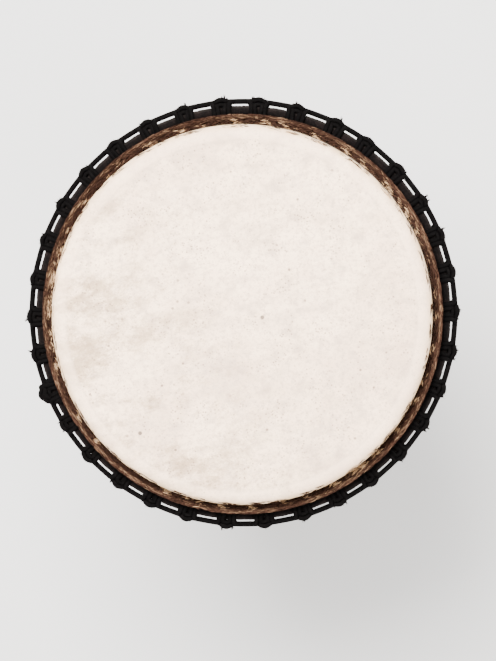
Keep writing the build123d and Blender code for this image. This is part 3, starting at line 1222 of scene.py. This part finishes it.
        tone = self.patches(angle, np.where(edge, 0.0, out)) + rng.normal(0, 0.07, count)
        tone = np.broadcast_to(np.clip(tone, 0, 1)[:, None, None], points.shape[:3])
        piece = grid_mesh("collar_hair", points, tone=tone)
        dress(piece, material, None)
        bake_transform(piece)
        return piece

    def build(self) -> list[bpy.types.Object]:
        """Returns:
            The three pieces.
        """
        s = self.sizes
        hide = GoatskinFinish(face_r=s.bowl_r + 1.1 * MM, band_r=s.bowl_r - 12.5 * MM).material()
        face = self.face(hide)
        collar = self.collar(HairFinish("raw_hide_edge").material())
        hair = self.hair(HairFinish("goat_hair").material())
        across = 2 * self.stretched_r
        math.pi * (across / 2) ** 2
        return [face, collar, hair]


# ------------------------------------------------------------------------------------ rings
@dataclass
class ClothWrap:
    """Cotton strip wound round one steel ring in overlapping turns."""

    name: str
    node: str
    body: Body
    turns: int
    across: int = 22
    overlap: float = 0.45 * MM
    loose: float = 0.55 * MM
    edge_share: float = 0.07

    def build(self, material: bpy.types.Material) -> bpy.types.Object:
        """Make one ring's wrap, whose section grows by a cloth's thickness at each turn's edge.

        Each turn's edge runs slantwise round the ring: its phase is (turns * a + b) / 2 pi, for an
        angle a round the drum and b round the section, and the edge itself is a little ragged.

        Args:
            material: cloth of this ring.

        Returns:
            The piece.
        """
        ring_r, ring_z, wrap_r = ring_of(self.node)
        along = self.turns * 24
        angle = (np.arange(along) * TURN / along)[:, None]
        section = (np.arange(self.across) * TURN / self.across)[None]
        rng = np.random.default_rng(16)
        phases = rng.uniform(0, TURN, 4)
        ragged = 0.03 * np.sin(angle * 173 + phases[0] + 2 * section)
        ragged = ragged + 0.05 * np.sin(angle * 61 + phases[1])
        phase = (self.turns * angle / TURN + section / TURN + ragged) % 1.0
        edge = np.clip(phase / self.edge_share, 0, 1)
        creases = 0.08 * MM * np.sin(angle * self.turns * 4 + section * 3 + phases[2])
        sunk = self.overlap * (1 - edge * (1 - 0.75 * phase)) * 0.9
        radius = wrap_r + self.loose - sunk + creases
        out, up = radius * np.cos(section), radius * np.sin(section)
        points = around_axis(ring_r + out, ring_z + up, -angle)
        girth_u = np.arange(along + 1) * TURN * ring_r / along
        uv_v = np.arange(self.across + 1) / self.across
        piece = grid_mesh(self.name, points[None], girth_u, uv_v, closed_i=True)
        return dress(piece, material, self.body, (self.node,))


def bare_rings(nodes: tuple[str, ...]) -> None:
    """Dress the steel rings, whose CAD shape stays as it is."""
    material = SteelFinish().material()
    for node in nodes:
        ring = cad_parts[node]
        ring.data.materials.clear()
        ring.data.materials.append(material)
        log.info("%s: steel finish", node)


# ------------------------------------------------------------------------------------ rope work
@dataclass(frozen=True)
class Row:
    """One row of hitches: its ring, its body, and where its loops are pulled to.

    The side is -1 for the crown's hanging loops and 1 for the lower ring's standing loops. Angles hold
    each hitch's place round the drum, and pull and tip lie in the (outward, up) plane.
    """

    name: str
    side: int
    body: Body
    ring_r: float
    ring_z: float
    angles: np.ndarray
    pull: tuple[float, float]
    tip: tuple[float, float]


@dataclass
class RopeWork:
    """Both rows of hitches, the ropes that join them, their knots and the lacing between them.

    The fields named full say how much thicker than the cord's own radius a slack, fluffy turn looks.
    """

    sizes: DrumSizes
    crown_loop: float = 36.0 * MM
    lower_loop: float = 22.0 * MM
    loop_drop: float = 3.0 * MM
    bowl_gap: float = 3.1 * MM
    wander: float = math.radians(0.45)
    knot_station: int = 19
    tie_off_station: int = 9
    around: int = 10
    hitch_full: float = 1.14
    strand_full: float = 1.22
    run_full: float = 1.34
    knot_full: float = 1.2
    run_out: float = 2.45 * MM
    run_half: float = 6.5 * MM
    link_lead: float = 9.0 * MM
    fibres: int = 104
    spikes: int = 4

    def __post_init__(self) -> None:
        """Work out both rows, with each hitch a little off its even place."""
        s = self.sizes
        rng = np.random.default_rng(7)
        even = s.first_station + s.spacing * np.arange(s.stations)
        crown_angles = even + rng.uniform(-1, 1, s.stations) * self.wander
        lower_angles = even + s.spacing / 2 + rng.uniform(-1, 1, s.stations) * self.wander
        crown, lower = (s.crown_r, s.crown_z), (s.lower_r, s.lower_z)
        self.crown = self.row("crown", -1, Body.CROWN, crown, crown_angles, self.crown_loop)
        self.lower = self.row("lower", 1, Body.DRUM, lower, lower_angles, self.lower_loop)
        self.loop_half = 2 * s.rope_r + 0.9 * MM
        self.turn_r = 2 * s.rope_r + 0.2 * MM
        self.link_r = 2 * s.rope_r + 0.3 * MM

    @property
    def over_bowl(self) -> float:
        """Radius of the arc that the middle of a tight rope follows over the bowl."""
        return self.sizes.bowl_arc_r + self.sizes.rope_r + self.bowl_gap

    def row(
        self,
        name: str,
        side: int,
        body: Body,
        ring: tuple[float, float],
        angles: np.ndarray,
        loop: float,
    ) -> Row:
        """One row, whose loops leave the front of its ring and end a loop's length along their pull.

        Args:
            name: crown or lower.
            side: way its loops point, -1 down and 1 up.
            body: body that it rides on.
            ring: the ring's radius and height.
            angles: each hitch's angle.
            loop: length of a loop.

        Returns:
            The row.
        """
        q = self.sizes.strand_r
        front = (ring[0] + q, ring[1] + side * (q + self.loop_drop))
        pull = self.pull(front, side)
        tip = tuple(p + d * loop for p, d in zip(front, pull))
        return Row(name, side, body, *ring, angles, pull, tip)

    def pull(self, start: tuple[float, float], side: int) -> tuple[float, float]:
        """Way a tight rope leaves a point to pass just clear of the bowl, outward and up.

        Args:
            start: outward distance and height of the point.
            side: way that the rope leaves, -1 down and 1 up.

        Returns:
            Unit vector, outward and up.
        """
        out, up = start[0] - self.sizes.bowl_arc_x, start[1] - self.sizes.bowl_arc_z
        away = math.hypot(out, up)
        lean = -side * math.asin(self.over_bowl / away)
        cos, sin = math.cos(lean), math.sin(lean)
        return ((up * sin - out * cos) / away, (-out * sin - up * cos) / away)

    def there_and_back(self, half: list[tuple[float, float, float]]) -> np.ndarray:
        """A route's first half, then the same half back on the other side of its hitch.

        Args:
            half: outward distance in metres, distance along the ring in millimetres, height in metres.

        Returns:
            The route in metres, at angle 0.
        """
        points = np.array(half) * np.array([1, MM, 1])
        return np.concatenate([points, points[::-1] * np.array([1, -1, 1])])

    def hitch_route(self, row: Row) -> np.ndarray:
        """Route of one hitch at angle 0.

        It leaves the running rope, goes twice round the ring, hangs down (or stands up) as the loop
        that ends at the row's tip, and comes back the same way on the other side.

        Args:
            row: the row.

        Returns:
            The route in metres.
        """
        q, side, tip, pull = self.sizes.strand_r, row.side, row.tip, row.pull
        front, back = row.ring_r + q, row.ring_r - q
        near, far = row.ring_z + side * q, row.ring_z - side * q
        half = [
            (front + 2.2 * MM, -11.5, row.ring_z - side * 1.0 * MM),
            (front + 1.2 * MM, -8.2, row.ring_z - side * 3.5 * MM),
            (front, -6.9, far),
            (back, -6.2, far),
            (back, -5.6, near),
            (front, -4.7, near),
            (front, -3.4, far),
            (back, -2.1, far),
            (back, -1.8, near),
            (front, -1.75, near + side * 1.5 * MM),
            (front + pull[0] * 3 * MM, -2.2, near + side * 6 * MM),
            (tip[0] - pull[0] * 8 * MM, -3.9, tip[1] - pull[1] * 8 * MM),
            (tip[0], -self.loop_half / MM, tip[1]),
        ]
        return self.there_and_back(half)

    def hitches(self, row: Row, material: bpy.types.Material) -> np.ndarray:
        """One row of hitches, each a copy of one rope tube turned to its station and a little uneven.

        Args:
            row: the row.
            material: rope material.

        Returns:
            The piece's points, shaped (stations, samples, round, 3).
        """
        s = self.sizes
        step = 1.1 * MM
        line = rope_line(self.hitch_route(row), step, closed=False)
        radius = round_ends(len(line), step, s.rope_r * self.hitch_full)[:, None]
        lumps = 1 + 0.035 * np.sin(np.arange(len(line)) * 1.9)[:, None]
        one = tube(line, radius * lumps, self.around, closed=False)
        rng = np.random.default_rng(17 + row.side)
        copies = np.repeat(one[None], s.stations, axis=0)
        copies[..., 1] *= 1 + rng.uniform(-0.06, 0.03, s.stations)[:, None, None]
        copies = turned(copies, row.angles[:, None, None])
        piece = rope_mesh(f"{row.name}_rope_hitches", copies, step)
        dress(piece, material, row.body, (f"{row.name}_hitches",))
        return copies

    def running_rope(self, row: Row, material: bpy.types.Material) -> None:
        """The rope that runs straight from hitch to hitch, along each hitch's front.

        Args:
            row: the row.
            material: rope material.
        """
        cross_r = row.ring_r + self.sizes.strand_r + self.run_out
        half = self.run_half / cross_r
        spread = np.stack([row.angles - half, row.angles + half], -1).ravel()
        step = 0.8 * MM
        line = rope_line(around_axis(cross_r, row.ring_z, spread), step, closed=True)
        surface = tube(line, self.sizes.rope_r * self.run_full, self.around + 2, closed=True)
        piece = rope_mesh(f"{row.name}_running_rope", surface[None], step, closed=True)
        dress(piece, material, row.body, (f"{row.name}_cradle_rope",))

    def crossing_strands(self, row: Row, material: bpy.types.Material) -> np.ndarray:
        """The three strands that cross the front of each hitch, one of them over the loop's legs.

        Args:
            row: the row.
            material: rope material.

        Returns:
            Points of the outermost strand of each hitch, shaped (stations, samples, round, 3).
        """
        s = self.sizes
        front, z, side = row.ring_r + s.strand_r, row.ring_z, row.side
        half = [
            (front - 1.0 * MM, -7.9, z + side * 4.5 * MM),
            (front + 1.4 * MM, -7.0, z + side * 0.5 * MM),
            (front + 3.6 * MM, -4.0, z - side * 2.2 * MM),
            (front + 4.7 * MM, -0.9, z - side * 2.9 * MM),
        ]
        step = 0.9 * MM
        line = rope_line(self.there_and_back(half), step, closed=False)
        radius = round_ends(len(line), step, s.rope_r * self.strand_full)[:, None]
        outer = tube(line, radius, self.around, closed=False)
        middle = line.mean(axis=0)
        lower = (outer - middle) * (1, 0.8, 1) + middle + (-3.0 * MM, 0, side * 6.5 * MM)
        filling = (outer - middle) * (0.8, 0.86, 1) + middle + (-3.9 * MM, 0, -side * 1.3 * MM)
        rng = np.random.default_rng(41 + side)
        copies = np.repeat(np.stack([outer, lower, filling])[None], s.stations, axis=0)
        one_each = (s.stations, 1, 1, 1)
        copies[..., 1] *= 1 + rng.uniform(-0.1, 0.08, one_each)
        copies[..., 0] += rng.uniform(-0.45, 0.3, one_each) * MM
        copies[..., 2] += rng.uniform(-0.6, 0.6, one_each) * MM
        copies = turned(copies, row.angles[:, None, None, None])
        piece = rope_mesh(f"{row.name}_crossing_strands", copies.reshape(-1, *outer.shape), step)
        dress(piece, material, row.body)
        return copies[:, 0]

    def coil(
        self, middle: Vector, axis: Vector, radius: float, turns: float, pitch: float
    ) -> np.ndarray:
        """Samples of a coil of rope: circles across an axis that advance by pitch a turn.

        Args:
            middle: middle of the coil.
            axis: way of its axis.
            radius: radius of its circles.
            turns: number of turns.
            pitch: advance of one turn.

        Returns:
            The samples, shaped (samples, 3).
        """
        axis = axis.normalized()
        one = axis.orthogonal().normalized()
        two = axis.cross(one)
        a = np.linspace(-turns / 2, turns / 2, int(turns * 36))[:, None]
        circle = np.cos(a * TURN) * np.array(one)[None] + np.sin(a * TURN) * np.array(two)[None]
        return np.array(middle)[None] + radius * circle + a * pitch * np.array(axis)[None]

    def overhand(
        self, middle: np.ndarray, out: np.ndarray, reach: float, wide: float = 1.0
    ) -> np.ndarray:
        """An overhand knot with loose ends: the trefoil (sin t + 2 sin 2t, cos t - 2 cos 2t, -sin 3t).

        Args:
            middle: its middle.
            out: outward unit vector, which the knot faces.
            reach: its half height.
            wide: width against height.

        Returns:
            Samples of the rope's middle line.
        """
        t = np.linspace(0.02, 0.98, 120) * TURN
        side = np.array([-out[1], out[0], 0.0])
        flat = np.stack([np.sin(t) + 2 * np.sin(2 * t), np.cos(t) - 2 * np.cos(2 * t)], -1) / 3
        line = middle + reach * (wide * flat[:, :1] * side + flat[:, 1:] * np.array([0, 0, 1.0]))
        return line - 0.42 * reach * np.sin(3 * t)[:, None] * out

    def knot(
        self,
        name: str,
        node: str,
        body: Body,
        lines: list[np.ndarray],
        material: bpy.types.Material,
        full: float = 1.0,
    ) -> None:
        """A knot made of several short lengths of rope with rounded ends.

        Args:
            name: name of the piece.
            node: CAD node that it stands for.
            body: body that it rides on.
            lines: the lengths' routes, which all get the same number of samples.
            material: rope material.
            full: thickness against the cord's own.
        """
        step = 0.9 * MM
        shaped = [rope_line(line, step, closed=False) for line in lines]
        longest = max(len(line) for line in shaped)
        even = [line[np.linspace(0, len(line) - 1, longest).round().astype(int)] for line in shaped]
        spans = [np.linalg.norm(np.diff(line, axis=0), axis=1).sum() / (longest - 1) for line in even]
        even = [rope_line(line, span, False) for line, span in zip(even, spans)]
        rows = min(len(line) for line in even)
        thick = round_ends(rows, step, self.sizes.rope_r * full)[:, None]
        tubes = np.stack([tube(line[:rows], thick, self.around, False) for line in even])
        dress(rope_mesh(name, tubes, step), material, body, (node,))

    def crown_knot(self, material: bpy.types.Material) -> None:
        """Where the crown rope's ends meet: turns beside a hitch and a knot in front of it.

        Three arches of rope over the front, each a run of outward and sideways points, fill it out.

        Args:
            material: rope material.
        """
        s = self.sizes
        angle = self.crown.angles[self.knot_station]
        shift = 10.2 * MM / s.crown_r
        lines = []
        for side in (-1, 1):
            at = angle + side * shift
            middle = Vector((s.crown_r * math.cos(at), s.crown_r * math.sin(at), s.crown_z))
            along = Vector((-math.sin(at), math.cos(at), 0.0))
            lines.append(self.coil(middle, along, s.strand_r, 1.35, 2.0 * MM * side))
        front = s.crown_r + s.strand_r
        out = np.array([math.cos(angle), math.sin(angle), 0.0])
        along = np.array([-math.sin(angle), math.cos(angle), 0.0])
        before = out * (front + 4.6 * MM) + (0, 0, s.crown_z - 3 * MM)
        lines.append(self.overhand(before, out, 5.2 * MM, 1.6))
        rising = [(-1.5, -11.2), (2.6, -9.2), (6.2, -5.4), (9.4, -1.6)]
        falling = [(9.0, 2.0), (5.2, 5.8), (1.8, 9.6), (-1.5, 11.4)]
        arch = np.array(rising + falling)
        for drop, sink, squeeze in ((0.5, 0.0, 1.0), (4.6, 1.6, 0.9), (2.4, 3.6, 0.75)):
            line = around_axis(front + (arch[:, 0] - sink) * MM, s.crown_z - drop * MM, angle)
            lines.append(line + (arch[:, 1] * squeeze * MM)[:, None] * along)
        self.knot("crown_joining_turns", "crown_rope_knot", Body.CROWN, lines, material, self.knot_full)

    def lower_knot(self, material: bpy.types.Material) -> None:
        """The lower rope's ends tied in an overhand knot under it.

        Args:
            material: rope material.
        """
        low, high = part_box("lower_rope_knot")
        middle = (np.array(low) + np.array(high)) / 2
        reach = (high[2] - low[2]) / 2 - self.sizes.rope_r
        line = self.overhand(middle, unit(np.array([middle[0], middle[1], 0.0])), reach)
        self.knot("lower_joining_knot", "lower_rope_knot", Body.DRUM, [line], material)

    def link(self, row: Row) -> np.ndarray:
        """Route of the lacing through each loop of a row: outside, over the loop's end, inside.

        Args:
            row: the row.

        Returns:
            The route's points, shaped (stations, 4, 3).
        """
        pull = row.pull
        along = np.array([pull[0], 0.0, pull[1]])
        out = np.array([abs(pull[1]), 0.0, pull[0] if pull[1] < 0 else -pull[0]])
        end = np.array([row.tip[0], 0.0, row.tip[1]])
        r = self.link_r
        outside = [end + out * r + along * self.link_lead, end + out * r - along * r]
        inside = [end - out * r - along * r, end - out * r + along * self.link_lead]
        return turned(np.array(outside + inside)[None], row.angles[:, None])

    def lacing_route(self) -> np.ndarray:
        """The whole lacing: through a crown loop, over the bowl, through a lower loop, and back up.

        Returns:
            The route's points, shaped (points, 3).
        """
        s = self.sizes
        top, low = self.link(self.crown), self.link(self.lower)[:, ::-1]
        top_touch, low_touch = math.asin(self.crown.pull[0]), -math.asin(self.lower.pull[0])
        middle = (top_touch + low_touch) / 2
        reach = self.over_bowl / math.cos((top_touch - low_touch) / 2)
        bend_r = s.bowl_arc_x + reach * math.cos(middle)
        bend_z = s.bowl_arc_z + reach * math.sin(middle)
        crown, lower = self.crown.angles, self.lower.angles
        next_crown = np.roll(crown, -1) + np.where(np.arange(s.stations) == s.stations - 1, TURN, 0)
        down = around_axis(bend_r, bend_z, (crown + lower) / 2)[:, None]
        up = around_axis(bend_r, bend_z, (next_crown + lower) / 2)[:, None]
        return np.concatenate([top, down, low, up], axis=1).reshape(-1, 3)

    def lacing(self, material: bpy.types.Material) -> None:
        """The lacing as one closed rope that runs between the two bodies.

        Args:
            material: rope material.
        """
        step = 1.7 * MM
        line = rope_line(self.lacing_route(), step, closed=True)
        surface = tube(line, self.sizes.rope_r, self.around - 1, closed=True)
        piece = rope_mesh("rope_lacing", surface[None], step, closed=True)
        dress(piece, material, None, ("lacing",))
        low, high = self.lower.tip[1] + 10 * MM, self.crown.tip[1] - 6 * MM
        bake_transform(piece)

    def tie_off(self, material: bpy.types.Material) -> None:
        """The lacing's end, hitched round one of its own runs.

        Args:
            material: rope material.
        """
        low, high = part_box("lacing_tie_off")
        middle = (Vector(low) + Vector(high)) / 2
        route = self.lacing_route().reshape(self.sizes.stations, -1, 3)[self.tie_off_station]
        line = self.coil(middle, Vector(route[-1] - route[-2]), self.turn_r, 2.9, self.turn_r)
        self.knot("lacing_end_turns", "lacing_tie_off", Body.DRUM, [line], material)

    def fray(
        self,
        row: Row,
        copies: np.ndarray,
        fronts: np.ndarray,
        reach: float,
        material: bpy.types.Material,
    ) -> None:
        """Loose fibres that stand off the hitches, singly and twisted into small spikes.

        Each starts on a random point of a hitch near its ring, or of the strand over its front, and
        leaves along the rope's own outward direction with some spread and a bend. A spike is thick,
        stands away from the ring, and has a few fibres round it.

        Args:
            row: the row.
            copies: points of the hitches.
            fronts: points of the strands over their fronts.
            reach: length of a fibre, against a scale of about 1 to 4.
            material: fibre material.
        """
        rng = np.random.default_rng(57)
        stations, samples, around = copies.shape[:3]
        near_ring = np.arange(samples)[np.abs(np.arange(samples) - (samples - 1) / 2) > samples * 0.2]
        sample = rng.choice(near_ring, (stations, self.fibres))
        column = rng.integers(0, around, (stations, self.fibres))
        station = np.broadcast_to(np.arange(stations)[:, None], sample.shape)
        root = copies[station, sample, column]
        outward = unit(root - copies[station, sample].mean(axis=2))
        radial = unit(root * np.array([1, 1, 0]))
        order = np.arange(self.fibres)
        spike, follower = order < self.spikes, (order >= self.spikes) & (order < 6 * self.spikes)
        lead = np.where(follower, order % self.spikes, order)
        outermost = np.linalg.norm(fronts[..., :2], axis=-1).argmax(axis=2)
        on_front = rng.integers(fronts.shape[1] // 6, fronts.shape[1] * 5 // 6, sample.shape)
        at_front = fronts[station, on_front, np.take_along_axis(outermost, on_front, axis=1)]
        on_strand = (spike | (order % 2 == 1))[None, :, None]
        root = np.where(on_strand, at_front - radial * 0.5 * MM, root)
        beside_lead = root[:, lead] + rng.normal(0, 0.3, root.shape) * MM
        root = np.where(follower[None, :, None], beside_lead, root)
        gathered = (spike | follower)[None, :, None]
        outward = np.where(gathered, radial[:, lead], outward)
        present = rng.uniform(size=(stations, self.spikes)) < 0.42
        size = np.where(present, rng.uniform(1.8, 4.2, (stations, self.spikes)), 0.4)
        length = rng.uniform(0.8, 2.6, sample.shape)
        lead_size = size[:, lead % self.spikes] * rng.uniform(0.6, 1.0, sample.shape)
        length = np.where(gathered[..., 0], lead_size, length) * reach
        way = unit(outward + rng.normal(0, 1, outward.shape) * np.where(gathered, 0.25, 0.55))
        bend = rng.normal(0, 0.2, outward.shape) * length[..., None]
        t = np.linspace(0, 1, 4)[None, None, :, None]
        straight = way[:, :, None] * length[..., None, None] * t
        spine = root[:, :, None] + straight + bend[:, :, None] * t**2
        thick = np.select([spike, follower], [1.0, 0.3], 0.2) * MM
        width = np.tile(thick[:, None] * np.array([1.0, 0.85, 0.5, 0.1]), (stations, 1))
        points = strands(spine.reshape(-1, 4, 3), (0.31, 0.27, 0.91), width)
        piece = grid_mesh(f"{row.name}_frayed_fibres", points)
        dress(piece, material, row.body)

    def build(self) -> None:
        """Make every rope and dress it."""
        rope = RopeFinish().material()
        fibre = FibreFinish().material()
        crown, lower = self.hitches(self.crown, rope), self.hitches(self.lower, rope)
        self.running_rope(self.crown, rope)
        self.running_rope(self.lower, rope)
        fronts = [self.crossing_strands(row, rope) for row in (self.crown, self.lower)]
        self.crown_knot(rope)
        self.lower_knot(rope)
        self.lacing(rope)
        self.tie_off(rope)
        self.fray(self.crown, crown, fronts[0], MM, fibre)
        self.fray(self.lower, lower, fronts[1], 0.7 * MM, fibre)


# ------------------------------------------------------------------------------------ studio
@dataclass
class Studio:
    """Camera over the head, pale floor and soft light."""

    sizes: DrumSizes
    distance: float = 2.6
    lens: float = 160.7
    lean: tuple[float, float] = (0.040, 0.064)
    aim_shift: tuple[float, float] = (0.0059, -0.0128)
    warm: tuple[float, float, float] = (1.0, 0.93, 0.86)
    sky: float = 2.9
    floor_reach: float = 14.0
    lit_z: float = 0.4

    def camera(self) -> None:
        """Camera that looks down on the head, a little from its right and its top."""
        back = Vector((*self.lean, 1.0)).normalized()
        right = Vector((0, 1, 0)).cross(back).normalized()
        up = back.cross(right)
        aim = Vector((0, 0, self.sizes.head_z)) + right * self.aim_shift[0] + up * self.aim_shift[1]
        data = bpy.data.cameras.new("camera")
        data.lens = self.lens
        data.sensor_width = 36.0
        data.clip_end = 50.0
        camera = bpy.data.objects.new("camera", data)
        bpy.context.scene.collection.objects.link(camera)
        turn = Matrix((right, up, back)).transposed().to_4x4()
        camera.matrix_world = Matrix.Translation(aim + back * self.distance) @ turn
        bpy.context.scene.camera = camera

    def lamp(self, name: str, place: tuple[float, float, float], size: float, power: float) -> None:
        """Square soft light that faces the drum.

        Args:
            name: the lamp's name.
            place: where it stands.
            size: side of its square.
            power: power in watts.
        """
        data = bpy.data.lights.new(name, "AREA")
        data.shape = "SQUARE"
        data.size = size
        data.energy = power
        data.color = self.warm
        lamp = bpy.data.objects.new(name, data)
        lamp.location = place
        towards = Vector((0, 0, self.lit_z)) - Vector(place)
        lamp.rotation_mode = "QUATERNION"
        lamp.rotation_quaternion = towards.to_track_quat("-Z", "Y")
        bpy.context.scene.collection.objects.link(lamp)

    def floor(self) -> None:
        """Wide flat floor under the foot."""
        mesh = bpy.data.meshes.new("floor")
        r = self.floor_reach
        mesh.from_pydata([(-r, -r, 0), (r, -r, 0), (r, r, 0), (-r, r, 0)], [], [(0, 1, 2, 3)])
        floor = bpy.data.objects.new("floor", mesh)
        floor.data.materials.append(FloorFinish().material())
        bpy.context.scene.collection.objects.link(floor)

    def build(self) -> None:
        """Set up the camera, the floor, two lamps and an even pale sky."""
        self.camera()
        self.floor()
        self.lamp("key", (-0.4, 1.0, 2.8), 1.1, 430.0)
        self.lamp("fill", (1.5, -1.9, 1.4), 1.8, 60.0)
        world = bpy.data.worlds.new("sky")
        bpy.context.scene.world = world
        world.use_nodes = True
        background = world.node_tree.nodes["Background"]
        background.inputs[0].default_value = (*self.warm, 1.0)
        background.inputs[1].default_value = self.sky


def main() -> None:
    """Build the studio, then the drum from the inside out."""
    logging.basicConfig(level=logging.INFO, format="%(name)s %(message)s", force=True)
    sizes = DrumSizes.from_frame()
    Studio(sizes).build()
    Shell(sizes).build()
    Head(sizes).build()
    crown_cloth = ClothFinish("crown_cotton_wrap", sizes.crown_r + sizes.wrap_r).material()
    lower_cloth = ClothFinish("lower_cotton_wrap", sizes.lower_r + sizes.wrap_r).material()
    ClothWrap("crown_cloth_wrap", "crown_ring_wrap", Body.CROWN, turns=88).build(crown_cloth)
    ClothWrap("lower_cloth_wrap", "lower_ring_wrap", Body.DRUM, turns=46).build(lower_cloth)
    bare_rings(("flesh_ring", "crown_ring", "lower_ring"))
    RopeWork(sizes).build()


if __name__ == "__main__":
    main()
